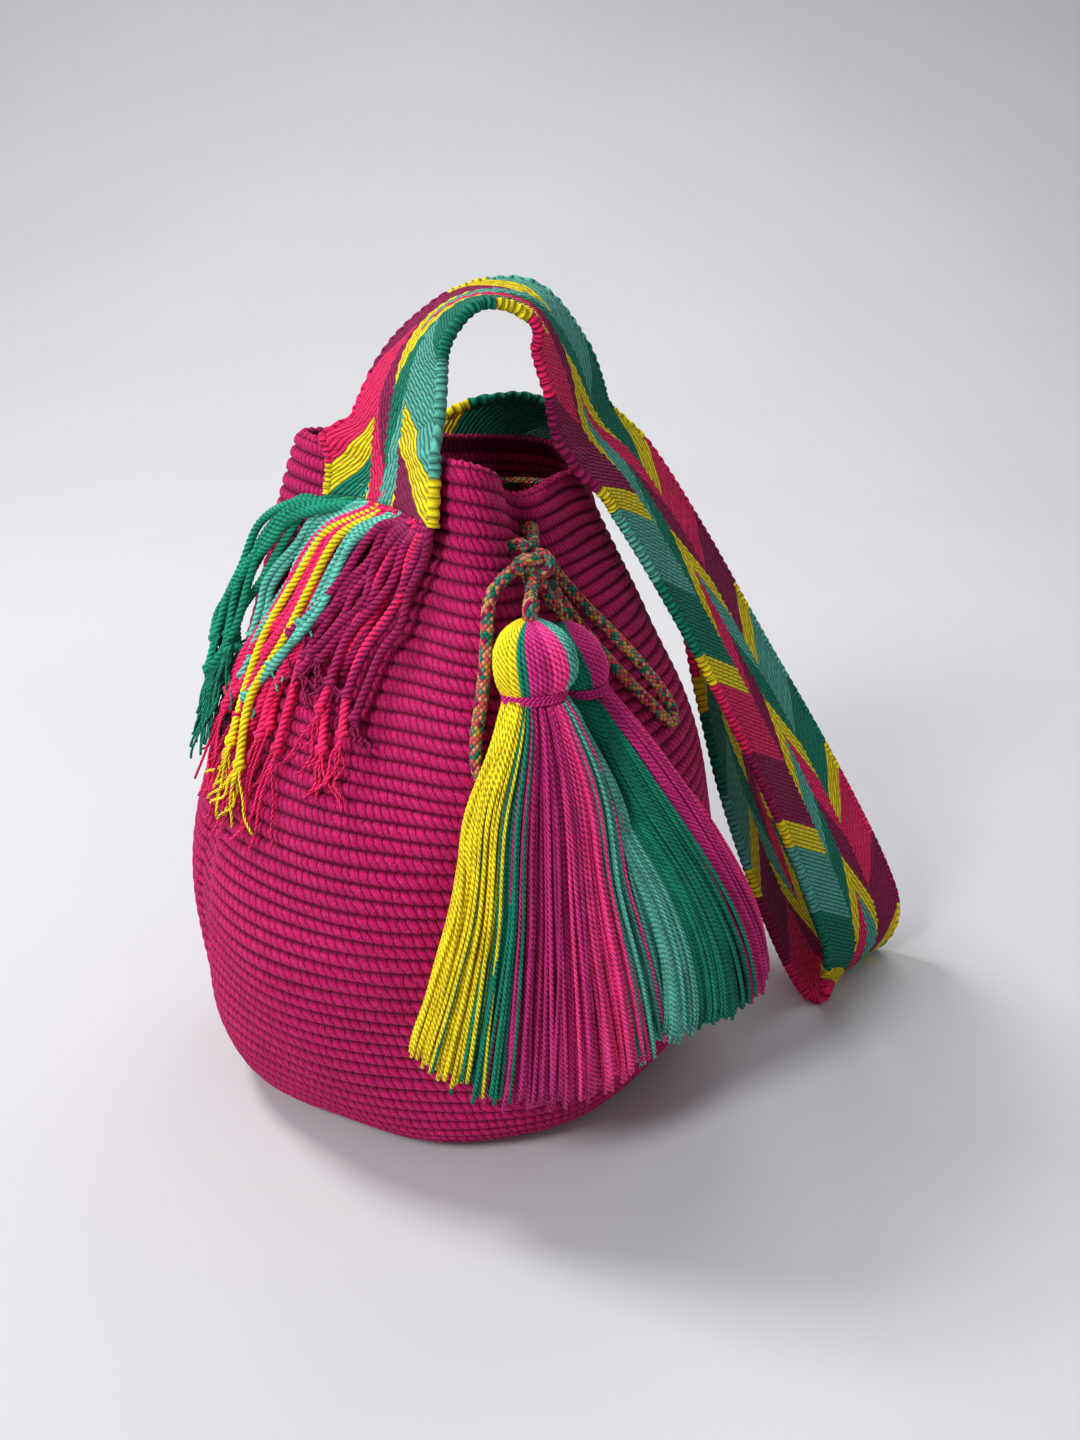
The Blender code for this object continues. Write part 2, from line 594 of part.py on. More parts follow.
def build_knot(material):
    centre = Vector([float(c) for c in knot_centre()])
    bm = bmesh.new()
    bmesh.ops.create_icosphere(bm, subdivisions=3, radius=1.0)
    for vertex in bm.verts:
        direction = vertex.co.normalized()
        lobes = math.sin(direction.x * 5.0 + 1.3) * math.cos(direction.z * 6.0) * 0.07
        vertex.co = direction * KNOT_RADIUS * (0.92 + lobes)
        vertex.co.y *= 0.90
        vertex.co += centre
    mesh = bpy.data.meshes.new("drawstring_knot")
    bm.to_mesh(mesh)
    bm.free()
    for polygon in mesh.polygons:
        polygon.use_smooth = True
    mesh.materials.append(material)
    obj = bpy.data.objects.new("drawstring_knot", mesh)
    bpy.context.scene.collection.objects.link(obj)
    return obj


def build():
    for obj in list(bpy.data.objects):
        bpy.data.objects.remove(obj, do_unlink=True)
    crochet = make_material("crochet_cotton", (0.40, 0.012, 0.155), 0.85)
    woven = make_material("woven_strap", (0.72, 0.05, 0.22), 0.8)
    twisted = make_material("twisted_fringe_cord", (0.05, 0.35, 0.26), 0.8)
    braided = make_material("braided_drawstring", (0.62, 0.30, 0.26), 0.8)
    yarn = make_material("tassel_yarn", (0.50, 0.06, 0.30), 0.8)
    thread = make_material("binding_thread", (0.55, 0.03, 0.20), 0.75)

    build_bag(crochet)
    build_strap(woven)
    build_fringe(twisted)
    cord_object("drawstring_lacing", lacing_route(), braided)
    build_knot(braided)
    cord_object("drawstring_loop_left", loop_route(LOOP_LEFT), braided)
    cord_object("drawstring_loop_right", loop_route(LOOP_RIGHT), braided)
    cord_object("drawstring_end_front", end_route(TASSEL_FRONT, 0.001), braided)
    cord_object("drawstring_end_side", end_route(TASSEL_SIDE, 0.001), braided)
    groove = BINDING_THICKNESS * 0.45
    build_tassel("tassel_front", TASSEL_FRONT, yarn, groove)
    build_tassel("tassel_side", TASSEL_SIDE, yarn, groove)
    build_binding("tassel_front_binding", TASSEL_FRONT, BINDING_FRONT_HEIGHTS, thread)
    build_binding("tassel_side_binding", TASSEL_SIDE, BINDING_SIDE_HEIGHTS, thread)


build()
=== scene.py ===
"""Looks of the crocheted bucket bag: ribbed crochet, plaited strap, twisted fringe, braided drawstring
and yarn tassels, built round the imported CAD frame.  Metres, +Z up, bag front towards -Y."""
import math

import bpy
import numpy as np
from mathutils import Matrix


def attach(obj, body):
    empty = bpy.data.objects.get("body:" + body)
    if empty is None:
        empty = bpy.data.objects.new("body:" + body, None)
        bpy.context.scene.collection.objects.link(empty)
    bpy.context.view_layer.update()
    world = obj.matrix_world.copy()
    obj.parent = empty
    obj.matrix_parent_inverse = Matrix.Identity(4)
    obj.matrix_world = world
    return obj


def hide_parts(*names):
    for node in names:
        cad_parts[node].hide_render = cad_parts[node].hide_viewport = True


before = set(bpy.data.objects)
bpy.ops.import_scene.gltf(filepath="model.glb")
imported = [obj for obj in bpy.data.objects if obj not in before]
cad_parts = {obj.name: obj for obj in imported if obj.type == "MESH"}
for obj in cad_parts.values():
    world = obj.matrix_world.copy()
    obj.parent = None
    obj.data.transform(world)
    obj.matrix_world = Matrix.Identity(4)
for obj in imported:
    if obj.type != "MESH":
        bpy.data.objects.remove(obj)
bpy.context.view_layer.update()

rng = np.random.default_rng(452)

# ---------------------------------------------------------------- sizes shared with the CAD model
WALL = 0.0045
STRAP_WIDTH = 0.070
STRAP_THICKNESS = 0.004
CORD_DIAMETER = 0.0055
EYELETS = ((22.0, 0.2765), (42.0, 0.2745))
KNOT_ANGLE = 27.0
KNOT_HEIGHT = 0.2685
KNOT_REACH = 0.0890
KNOT_RADIUS = 0.0088
PROFILE = (
    (0.0, 0.0), (0.045, 0.0), (0.092, 0.0), (0.114, 0.010), (0.1255, 0.034), (0.1305, 0.070),
    (0.1305, 0.105), (0.124, 0.145), (0.111, 0.185), (0.094, 0.222), (0.076, 0.258), (0.059, 0.298),
)
RIM_PLAN = (
    (-180, 0.060), (-150, 0.052), (-130, 0.062), (-112, 0.072), (-96, 0.054), (-82, 0.038),
    (-66, 0.031), (-50, 0.0295), (-34, 0.031), (-16, 0.037), (-5, 0.046), (4, 0.072), (12, 0.080),
    (20, 0.072), (28, 0.048), (36, 0.043), (55, 0.047), (77, 0.051), (98, 0.058), (115, 0.064),
    (130, 0.074), (145, 0.080), (160, 0.070),
)
RIM_LIFT = (
    (-180, -0.002), (-110, 0.008), (-60, 0.0), (-10, 0.006), (12, 0.018), (36, -0.012),
    (80, -0.004), (110, -0.014), (150, -0.004),
)
FOLD_START = 0.095
RIM_HEIGHT = PROFILE[-1][1]
STRAP_ROUTE = (
    ((-0.0225, -0.0345, 0.2855), (-0.66, 0.75, -0.05)),
    ((-0.0215, -0.0325, 0.2990), (-0.64, 0.77, -0.05)),
    ((-0.0200, -0.0270, 0.3190), (-0.60, 0.80, -0.04)),
    ((-0.0150, -0.0160, 0.3400), (-0.42, 0.90, 0.00)),
    ((-0.0050, -0.0080, 0.3560), (-0.24, 0.97, 0.03)),
    ((0.0090, -0.0010, 0.3660), (-0.06, 0.99, 0.03)),
    ((0.0260, 0.0050, 0.3675), (0.10, 0.99, 0.03)),
    ((0.0420, 0.0100, 0.3600), (0.20, 0.97, 0.03)),
    ((0.0550, 0.0130, 0.3370), (0.30, 0.95, 0.05)),
    ((0.0650, 0.0170, 0.3090), (0.36, 0.93, 0.06)),
    ((0.0860, 0.0220, 0.2850), (0.38, 0.92, 0.10)),
    ((0.1130, 0.0240, 0.2430), (0.38, 0.92, 0.14)),
    ((0.1450, 0.0280, 0.1870), (0.40, 0.90, 0.16)),
    ((0.1810, 0.0300, 0.1210), (0.50, 0.85, 0.18)),
    ((0.2120, 0.0310, 0.0560), (0.64, 0.77, 0.14)),
    ((0.2210, 0.0340, 0.0230), (0.70, 0.71, 0.05)),
    ((0.2120, 0.0390, 0.0040), (0.66, 0.75, 0.00)),
    ((0.1960, 0.0460, 0.0200), (0.55, 0.83, 0.00)),
    ((0.1710, 0.0520, 0.0680), (0.42, 0.90, 0.02)),
    ((0.1500, 0.0570, 0.1210), (0.34, 0.94, 0.04)),
    ((0.1360, 0.0640, 0.1680), (0.30, 0.95, 0.02)),
    ((0.1260, 0.0740, 0.2070), (0.30, 0.93, -0.05)),
    ((0.1100, 0.0850, 0.2440), (0.34, 0.90, -0.20)),
    ((0.0820, 0.0960, 0.2720), (0.42, 0.80, -0.38)),
    ((0.0500, 0.0980, 0.2850), (0.52, 0.68, -0.48)),
    ((0.0230, 0.0900, 0.2840), (0.62, 0.60, -0.50)),
    ((0.0020, 0.0800, 0.2720), (0.74, 0.50, -0.42)),
    ((-0.0080, 0.0740, 0.2560), (0.80, 0.48, -0.34)),
)
TASSEL_FRONT = (
    (0.2550, 19.5, 0.0050, 0.0175, 0.0080, 0.0), (0.2520, 19.5, 0.0115, 0.0140, 0.0170, 0.0),
    (0.2465, 19.5, 0.0155, 0.0115, 0.0230, 0.0), (0.2395, 19.5, 0.0165, 0.0100, 0.0250, 0.0),
    (0.2335, 19.5, 0.0155, 0.0095, 0.0220, 0.0), (0.2290, 19.3, 0.0125, 0.0095, 0.0165, 0.1),
    (0.2260, 19.3, 0.0120, 0.0100, 0.0155, 0.1), (0.2210, 19.3, 0.0160, 0.0112, 0.0170, 0.4),
    (0.2070, 19.3, 0.0215, 0.0112, 0.0170, 0.8), (0.1850, 19.3, 0.0290, 0.0092, 0.0170, 1.0),
    (0.1550, 19.3, 0.0390, 0.0055, 0.0170, 1.0), (0.1200, 19.3, 0.0490, 0.0045, 0.0160, 1.0),
    (0.0880, 19.3, 0.0570, 0.0040, 0.0155, 1.0), (0.0540, 19.3, 0.0640, 0.0060, 0.0150, 1.0),
)
TASSEL_SIDE = (
    (0.2420, 36.0, 0.0040, 0.0125, 0.0070, 0.0), (0.2395, 36.0, 0.0090, 0.0090, 0.0140, 0.0),
    (0.2340, 36.3, 0.0125, 0.0070, 0.0190, 0.0), (0.2275, 36.6, 0.0130, 0.0062, 0.0210, 0.0),
    (0.2220, 36.9, 0.0120, 0.0062, 0.0190, 0.0), (0.2180, 37.3, 0.0100, 0.0066, 0.0150, 0.1),
    (0.2150, 37.6, 0.0098, 0.0066, 0.0145, 0.1), (0.2090, 38.6, 0.0115, 0.0066, 0.0180, 0.4),
    (0.1940, 41.2, 0.0140, 0.0066, 0.0210, 0.8), (0.1700, 45.2, 0.0170, 0.0066, 0.0230, 1.0),
    (0.1380, 50.3, 0.0205, 0.0066, 0.0240, 1.0), (0.1060, 55.0, 0.0240, 0.0080, 0.0240, 1.0),
    (0.0700, 59.5, 0.0285, 0.0100, 0.0240, 1.0),
)
LOOP_LEFT = (
    (21.0, 0.2720, 0.0048), (16.5, 0.2690, 0.0036), (13.0, 0.2620, 0.0036), (11.8, 0.2500, 0.0036),
    (11.0, 0.2380, 0.0036), (9.8, 0.2240, 0.0036), (8.4, 0.2080, 0.0036), (8.6, 0.1960, 0.0036),
    (11.6, 0.1890, 0.0032), (15.6, 0.1930, 0.0032), (18.6, 0.2050, 0.0032), (20.8, 0.2200, 0.0032),
    (22.4, 0.2360, 0.0032), (24.2, 0.2480, 0.0034), (26.0, 0.2560, 0.0060),
)
LOOP_RIGHT = (
    (36.5, 0.2650, 0.0190), (43.5, 0.2620, 0.0070), (49.0, 0.2530, 0.0036), (54.0, 0.2410, 0.0036),
    (60.0, 0.2280, 0.0036), (66.0, 0.2120, 0.0036), (70.0, 0.1970, 0.0036), (70.5, 0.1870, 0.0036),
    (67.0, 0.1860, 0.0036), (62.5, 0.1960, 0.0036), (57.0, 0.2100, 0.0036), (52.0, 0.2240, 0.0036),
    (47.5, 0.2380, 0.0036), (43.5, 0.2500, 0.0050), (36.5, 0.2570, 0.0150),
)

# ---------------------------------------------------------------- sizes of the fine detail
ROW_PITCH = 0.0062
ROW_DEPTH = 0.0019
STITCH_PITCH = 0.0041
STITCH_RADIUS = 0.12
BAG_COLUMNS = 360
BASE_END = PROFILE[2][0]
ROW_SAMPLES = ((0.0, 0.0), (0.24, 0.84), (0.5, 1.0), (0.76, 0.84))
PLAIT_REPEAT = 0.103
PLAIT_START = 0.101
EDGE_RADIUS = 0.0027
EDGE_PITCH = 0.0046
LANE_LIMITS = (0.36, 0.52, 0.68)
LANE_MIDDLE = 0.52
OUTER_SLANT = 0.70
INNER_SLANT = 2.3
OUTER_STRANDS = 36.0
INNER_STRANDS = 13.0
YARN_RADIUS = 0.00095
YARN_PITCH = 0.0026
BINDING_RADIUS = 0.00075
BRAID_STRANDS = 6.0
BRAID_PITCH = 0.0029
CORD_STEP = 0.0009

# Colours as linear RGB.
MAGENTA = (0.580, 0.0080, 0.125)
PINK = (0.900, 0.018, 0.130)
BURGUNDY = (0.300, 0.008, 0.085)
AQUA = (0.100, 0.430, 0.340)
GREEN = (0.004, 0.215, 0.128)
YELLOW = (0.920, 0.720, 0.012)
TASSEL_PINK = (0.960, 0.050, 0.270)
TASSEL_MAGENTA = (0.580, 0.022, 0.190)
CORAL = (0.800, 0.110, 0.110)
OCHRE = (0.620, 0.380, 0.060)
DULL_GREEN = (0.120, 0.270, 0.190)
SALMON = (0.800, 0.330, 0.200)
BINDING = (0.600, 0.020, 0.200)
# Painted highlight: pale magenta speckled over the crests of the crochet rows.
SPECKLED_HIGHLIGHT = (0.780, 0.070, 0.290)


# ---------------------------------------------------------------- shape functions
def smooth_route(points, count):
    """A smooth curve through the given points, as an array of count rows."""
    pts = np.array(points, dtype=float)
    ext = np.vstack([2.0 * pts[0] - pts[1], pts, 2.0 * pts[-1] - pts[-2]])
    place = np.linspace(0.0, len(pts) - 1 - 1e-9, count)
    index = place.astype(int)
    f = (place - index)[:, None]
    a, b, c, d = (ext[index + k] for k in range(4))
    return 0.5 * (2 * b + (c - a) * f + (2 * a - 5 * b + 4 * c - d) * f * f
                  + (3 * b - a - 3 * c + d) * f ** 3)


def unit(vectors):
    """The same vectors, each with a length of one."""
    return vectors / np.linalg.norm(vectors, axis=-1, keepdims=True)


def distances(points):
    """Distance walked along a route at each of its points."""
    return np.concatenate([[0.0], np.cumsum(np.linalg.norm(np.diff(points, axis=0), axis=1))])


def evenly_spaced(points, count):
    """The same route as count points at equal distances, first and last kept."""
    along = distances(points)
    places = np.linspace(0.0, along[-1], count)
    return np.stack([np.interp(places, along, column) for column in points.T], axis=1)


def cord_steps(points):
    """The same route in equal steps, fine enough for the drawstring's braid."""
    return evenly_spaced(points, int(round(distances(points)[-1] / CORD_STEP)) + 1)


def plan_waves(table, harmonics, blur_degrees):
    """Turn an (angle, value) table into smooth waves round the bag."""
    angles = np.array([row[0] for row in table], dtype=float)
    values = np.array([row[1] for row in table], dtype=float)
    angles = np.concatenate([angles - 360.0, angles, angles + 360.0])
    values = np.tile(values, 3)
    grid = np.arange(-180.0, 180.0, 0.5)
    samples = np.interp(grid, angles, values)
    turn = np.radians(grid)
    waves = []
    for k in range(harmonics + 1):
        scale = (2.0 if k else 1.0) * math.exp(-0.5 * (k * math.radians(blur_degrees)) ** 2)
        waves.append((k, scale * (samples * np.cos(k * turn)).mean(),
                      scale * (samples * np.sin(k * turn)).mean()))
    return waves


RIM_WAVES = plan_waves(RIM_PLAN, 36, 3.2)
LIFT_WAVES = plan_waves(RIM_LIFT, 10, 8.0)
PROFILE_CURVE = smooth_route(PROFILE, 400)
PROFILE_LENGTH = distances(PROFILE_CURVE)
WALL_LENGTH = float(PROFILE_LENGTH[-1])


def bag_points(theta, along):
    """Outer surface of the bag at angle theta and distance along the wall from the base's middle."""
    theta = np.asarray(theta, dtype=float)
    along = np.asarray(along, dtype=float)
    radius = np.interp(along, PROFILE_LENGTH, PROFILE_CURVE[:, 0])
    height = np.interp(along, PROFILE_LENGTH, PROFILE_CURVE[:, 1])
    rise = np.clip((height - FOLD_START) / (RIM_HEIGHT - FOLD_START), 0.0, 1.0)
    depth = rise * rise * (1.6 - 0.6 * rise)
    fold = np.zeros(np.broadcast(theta, along).shape)
    for k, cos_part, sin_part in RIM_WAVES[1:]:
        fade = np.exp(-k * k * 0.010 * (1.0 - rise) ** 1.5)
        fold = fold + fade * (cos_part * np.cos(k * theta) + sin_part * np.sin(k * theta))
    lift = np.zeros(np.broadcast(theta, along).shape)
    for k, cos_part, sin_part in LIFT_WAVES:
        lift = lift + cos_part * np.cos(k * theta) + sin_part * np.sin(k * theta)
    radius = radius * (1.0 + depth * fold / RIM_WAVES[0][1])
    return np.stack([radius * np.sin(theta), -radius * np.cos(theta), height + lift * rise ** 2], axis=-1)


def bag_normals(theta, along):
    """Outward unit normals of the bag's outer surface."""
    step = 0.0008
    low = np.clip(np.asarray(along, dtype=float) - step, 0.001, WALL_LENGTH)
    high = np.clip(np.asarray(along, dtype=float) + step, 0.001, WALL_LENGTH)
    up = bag_points(theta, high) - bag_points(theta, low)
    around = bag_points(theta + 0.012, along) - bag_points(theta - 0.012, along)
    return unit(np.cross(around, up))


# The wall's distance from the upright axis, for each degree round the bag and each step of height.
MAP_TOP = 0.32
MAP_STEP = 0.002
MAP_ANGLES = np.radians(np.arange(-180.0, 181.0, 1.0))
MAP_HEIGHTS = np.linspace(0.0, MAP_TOP, 161)
COLUMN_ALONG = np.linspace(0.095, WALL_LENGTH, 260)
RADIUS_MAP = np.zeros((len(MAP_ANGLES), len(MAP_HEIGHTS)))
for column, map_angle in enumerate(MAP_ANGLES):
    line = bag_points(np.full_like(COLUMN_ALONG, map_angle), COLUMN_ALONG)
    RADIUS_MAP[column] = np.interp(MAP_HEIGHTS, line[:, 2], np.hypot(line[:, 0], line[:, 1]))


def bag_radius(angle_degrees, height):
    """Distance of the bag's outer surface from the upright axis; works on arrays."""
    turn = (np.asarray(angle_degrees, dtype=float) + 180.0) % 360.0
    level = np.clip(np.asarray(height, dtype=float), 0.0, MAP_TOP) / MAP_STEP
    col = np.minimum(turn.astype(int), len(MAP_ANGLES) - 2)
    row = np.minimum(level.astype(int), len(MAP_HEIGHTS) - 2)
    fc = turn - col
    fr = level - row
    low = RADIUS_MAP[col, row] * (1 - fr) + RADIUS_MAP[col, row + 1] * fr
    high = RADIUS_MAP[col + 1, row] * (1 - fr) + RADIUS_MAP[col + 1, row + 1] * fr
    return low * (1 - fc) + high * fc


def clear_radius(angle_degrees, height, spread):
    """The largest wall radius within a small spread of angles."""
    angle = np.asarray(angle_degrees, dtype=float)
    near = [bag_radius(angle + side * spread, height) for side in (-1.0, -0.5, 0.0, 0.5, 1.0)]
    return np.max(near, axis=0)


def polar(angle_degrees, radius, height):
    """Points from an angle round the bag, a distance from the axis and a height."""
    turn = np.radians(angle_degrees)
    return np.stack(np.broadcast_arrays(radius * np.sin(turn), -radius * np.cos(turn), height), axis=-1)


def eyelet_frame(angle, height):
    """Middle of an eyelet on the outer wall and the wall's outward direction there."""
    def on_wall(a, h):
        return polar(a, bag_radius(a, h), h)
    east = on_wall(angle + 3.0, height) - on_wall(angle - 3.0, height)
    up = on_wall(angle, height + 0.004) - on_wall(angle, height - 0.004)
    return on_wall(angle, height), unit(np.cross(east, up))


# ---------------------------------------------------------------- mesh helpers
def add_mesh(name, vertices, quads, corner_uv, materials, caps=(), face_material=None):
    """A smooth-shaded mesh object; corner_uv has one (u, v) for each corner of each quad."""
    quads = np.asarray(quads)
    faces = quads.tolist() + [list(cap) for cap in caps]
    mesh = bpy.data.meshes.new(name)
    mesh.from_pydata(np.asarray(vertices).tolist(), [], faces)
    layer = mesh.uv_layers.new(name="UVMap")
    flat = np.zeros((len(mesh.loops), 2), dtype=np.float32)
    flat[: len(quads) * 4] = np.asarray(corner_uv, dtype=np.float32).reshape(-1, 2)
    layer.data.foreach_set("uv", flat.ravel())
    for material in materials:
        mesh.materials.append(material)
    if face_material is not None:
        mesh.polygons.foreach_set("material_index", face_material)
    mesh.polygons.foreach_set("use_smooth", np.ones(len(faces), dtype=bool))
    mesh.update()
    obj = bpy.data.objects.new(name, mesh)
    bpy.context.scene.collection.objects.link(obj)
    return obj


def grid_quads(rows, columns, closed):
    """Quads of a grid of points and their (row, column) corners; closed joins last column to first."""
    wide = columns if closed else columns - 1
    r, c = np.meshgrid(np.arange(rows - 1), np.arange(wide), indexing="ij")
    r = r.ravel()
    c = c.ravel()
    n = (c + 1) % columns
    quads = np.stack([r * columns + c, r * columns + n, (r + 1) * columns + n, (r + 1) * columns + c], 1)
    corner_row = np.stack([r, r, r + 1, r + 1], 1)
    corner_col = np.stack([c, c + 1, c + 1, c], 1)
    return quads, corner_row, corner_col


def transport_frames(points):
    """Two unit vectors square to each path; points is (paths, steps, 3)."""
    tangent = np.gradient(points, axis=1)
    tangent /= np.linalg.norm(tangent, axis=2, keepdims=True) + 1e-12
    steep = np.abs(tangent[:, 0, 2:3]) >= 0.9
    helper = np.where(steep, np.array([1.0, 0.0, 0.0]), np.array([0.0, 0.0, 1.0]))
    side = unit(np.cross(tangent[:, 0], helper))
    sides = np.zeros_like(points)
    for step in range(points.shape[1]):
        t = tangent[:, step]
        side = side - t * np.sum(side * t, axis=1, keepdims=True)
        side /= np.linalg.norm(side, axis=1, keepdims=True) + 1e-12
        sides[:, step] = side
    return sides, np.cross(tangent, sides)


def add_tubes(name, points, radius, sides, materials, tube_material=None, shape=None):
    """Closed tubes along many paths of as many points each, in one mesh.

    radius is (paths, steps) or a number; shape(turn, along) scales it round and along the tube.
    Each tube's v starts a whole metre after the last one's, so a material can tell them apart.
    """
    paths, steps, _ = points.shape
    radius = np.broadcast_to(np.asarray(radius, dtype=float), (paths, steps))
    one, two = transport_frames(points)
    lengths = np.linalg.norm(np.diff(points, axis=1), axis=2)
    along = np.concatenate([np.zeros((paths, 1)), np.cumsum(lengths, axis=1)], axis=1)
    turn = 2.0 * np.pi * np.arange(sides) / sides
    scale = np.ones((paths, steps, sides))
    if shape is not None:
        scale = shape(turn[None, None, :], along[:, :, None])
    ring = (one[:, :, None, :] * np.cos(turn)[None, None, :, None]
            + two[:, :, None, :] * np.sin(turn)[None, None, :, None])
    vertices = points[:, :, None, :] + ring * (radius[:, :, None] * scale)[..., None]
    quads, corner_row, corner_col = grid_quads(steps, sides, True)
    offset = (np.arange(paths) * steps * sides)[:, None, None]
    all_quads = (quads[None] + offset).reshape(-1, 4)
    u = np.broadcast_to((corner_col / sides)[None], (paths,) + corner_col.shape)
    v = along[np.arange(paths)[:, None, None], corner_row[None]]
    v = v + np.arange(paths)[:, None, None]
    uv = np.stack([u, v], axis=-1).reshape(-1, 4, 2)
    caps = []
    for p in range(paths):
        first = p * steps * sides
        last = first + (steps - 1) * sides
        caps.append(range(first + sides - 1, first - 1, -1))
        caps.append(range(last, last + sides))
    face_material = None
    if tube_material is not None:
        per_face = [np.repeat(tube_material, len(quads)), np.repeat(tube_material, 2)]
        face_material = np.concatenate(per_face).astype(np.int32)
    return add_mesh(name, vertices.reshape(-1, 3), all_quads, uv, materials, caps, face_material)


# ---------------------------------------------------------------- material helpers
class Nodes:
    """Short calls for building one material's node tree."""

    def __init__(self, name, roughness, sheen):
        self.material = bpy.data.materials.new(name)
        self.material.use_nodes = True
        self.tree = self.material.node_tree
        self.shader = self.tree.nodes["Principled BSDF"]
        self.shader.inputs["Roughness"].default_value = roughness
        self.shader.inputs["Sheen Weight"].default_value = sheen
        self.shader.inputs["Sheen Roughness"].default_value = 0.5
        self.shader.inputs["Specular IOR Level"].default_value = 0.12

    def link(self, source, target):
        self.tree.links.new(source, target)

    def value(self, node, socket, item):
        if isinstance(item, (int, float)):
            node.inputs[socket].default_value = item
        else:
            self.link(item, node.inputs[socket])

    def math(self, operation, first, second=0.0):
        node = self.tree.nodes.new("ShaderNodeMath")
        node.operation = operation
        self.value(node, 0, first)
        self.value(node, 1, second)
        return node.outputs[0]

    def add(self, first, second):
        return self.math("ADD", first, second)

    def minus(self, first, second):
        return self.math("SUBTRACT", first, second)

    def times(self, first, second):
        return self.math("MULTIPLY", first, second)

    def over(self, first, second):
        return self.math("DIVIDE", first, second)

    def floor(self, item):
        return self.math("FLOOR", item)

    def fract(self, item):
        return self.math("FRACT", item)

    def uv(self):
        node = self.tree.nodes.new("ShaderNodeUVMap")
        node.uv_map = "UVMap"
        split = self.tree.nodes.new("ShaderNodeSeparateXYZ")
        self.link(node.outputs[0], split.inputs[0])
        return split.outputs[0], split.outputs[1]

    def place(self):
        return self.tree.nodes.new("ShaderNodeTexCoord").outputs["Object"]

    def noise(self, scale, detail):
        node = self.tree.nodes.new("ShaderNodeTexNoise")
        node.inputs["Scale"].default_value = scale
        node.inputs["Detail"].default_value = detail
        self.link(self.place(), node.inputs["Vector"])
        return node.outputs["Fac"]

    def random(self, item, dimensions, socket):
        """A random value from 0 to 1 that stays the same for the same item."""
        node = self.tree.nodes.new("ShaderNodeTexWhiteNoise")
        node.noise_dimensions = dimensions
        self.link(item, node.inputs[socket])
        return node.outputs["Value"]

    def pair(self, x, y):
        node = self.tree.nodes.new("ShaderNodeCombineXYZ")
        self.value(node, 0, x)
        self.value(node, 1, y)
        return node.outputs[0]

    def bands(self, factor, stops):
        """Flat bands of colour; stops holds where each begins."""
        node = self.tree.nodes.new("ShaderNodeValToRGB")
        node.color_ramp.interpolation = "CONSTANT"
        elements = node.color_ramp.elements
        while len(elements) < len(stops):
            elements.new(0.5)
        for element, (position, colour) in zip(elements, stops):
            element.position = position
            element.color = (*colour, 1.0)
        self.link(factor, node.inputs[0])
        return node.outputs[0]

    def remap(self, factor, low, high, out_low, out_high):
        node = self.tree.nodes.new("ShaderNodeMapRange")
        self.link(factor, node.inputs["Value"])
        limits = (("From Min", low), ("From Max", high), ("To Min", out_low), ("To Max", out_high))
        for socket, item in limits:
            node.inputs[socket].default_value = item
        return node.outputs[0]

    def scaled(self, colour, factor):
        """colour times a factor."""
        node = self.tree.nodes.new("ShaderNodeVectorMath")
        node.operation = "SCALE"
        if isinstance(colour, tuple):
            node.inputs[0].default_value = colour
        else:
            self.link(colour, node.inputs[0])
        self.value(node, "Scale", factor)
        return node.outputs[0]

    def mix(self, factor, first, second):
        node = self.tree.nodes.new("ShaderNodeMix")
        node.data_type = "RGBA"
        self.value(node, "Factor", factor)
        for socket, item in ((6, first), (7, second)):
            if isinstance(item, tuple):
                node.inputs[socket].default_value = (*item, 1.0)
            else:
                self.link(item, node.inputs[socket])
        return node.outputs[2]

    def blend(self, factor, first, second):
        """first where factor is 0, second where it is 1."""
        keep = self.times(self.minus(1.0, factor), first)
        return self.add(keep, self.times(factor, second))

    def bump(self, height, strength, distance):
        node = self.tree.nodes.new("ShaderNodeBump")
        node.inputs["Strength"].default_value = strength
        node.inputs["Distance"].default_value = distance
        self.link(height, node.inputs["Height"])
        self.link(node.outputs[0], self.shader.inputs["Normal"])

    def colour(self, source):
        self.link(source, self.shader.inputs["Base Color"])
        return self.material

    def ridge(self, phase):
        """0 in the grooves, 1 on the crests, one crest for each whole step of phase."""
        return self.math("ABSOLUTE", self.math("SINE", self.times(phase, math.pi)))


def crochet_material():
    """Rows of slanted stitches with painted shade in their grooves and painted highlights on their crests; u
    is metres round the bag at STITCH_RADIUS, v counts rows.
    """
    n = Nodes("crochet_cotton", 0.85, 0.03)
    u, v = n.uv()
    wobble = n.times(n.noise(160.0, 2.0), 1.1)
    shift = n.times(n.floor(v), 0.37)
    lean = n.times(n.fract(v), 0.85)
    slant = n.add(n.add(n.over(u, STITCH_PITCH), n.add(lean, shift)), wobble)
    stitch = n.ridge(slant)
    strand = n.ridge(n.times(slant, 3.0))
    row = n.ridge(v)
    fine = n.noise(1400.0, 2.0)
    height = n.add(n.times(stitch, 0.65), n.times(strand, 0.15))
    n.bump(n.add(height, n.times(fine, 0.35)), 1.0, 0.0019)
    # Painted shade: the colour darkens in the grooves between rows and between stitches and strands; the
    # coarse noise after it is random tone.
    shade = n.times(n.remap(row, 0.0, 0.75, 0.24, 1.02), n.remap(stitch, 0.0, 0.60, 0.60, 1.06))
    shade = n.times(shade, n.remap(strand, 0.0, 0.8, 0.88, 1.04))
    shade = n.times(shade, n.remap(n.noise(28.0, 3.0), 0.3, 0.7, 0.86, 1.12))
    base = n.scaled(MAGENTA, shade)
    # Painted highlight: pale specks laid only on the crests of the rows.
    highlight_speckle = n.remap(n.noise(800.0, 1.0), 0.54, 0.70, 0.0, 0.40)
    return n.colour(n.mix(n.times(highlight_speckle, row), base, SPECKLED_HIGHLIGHT))


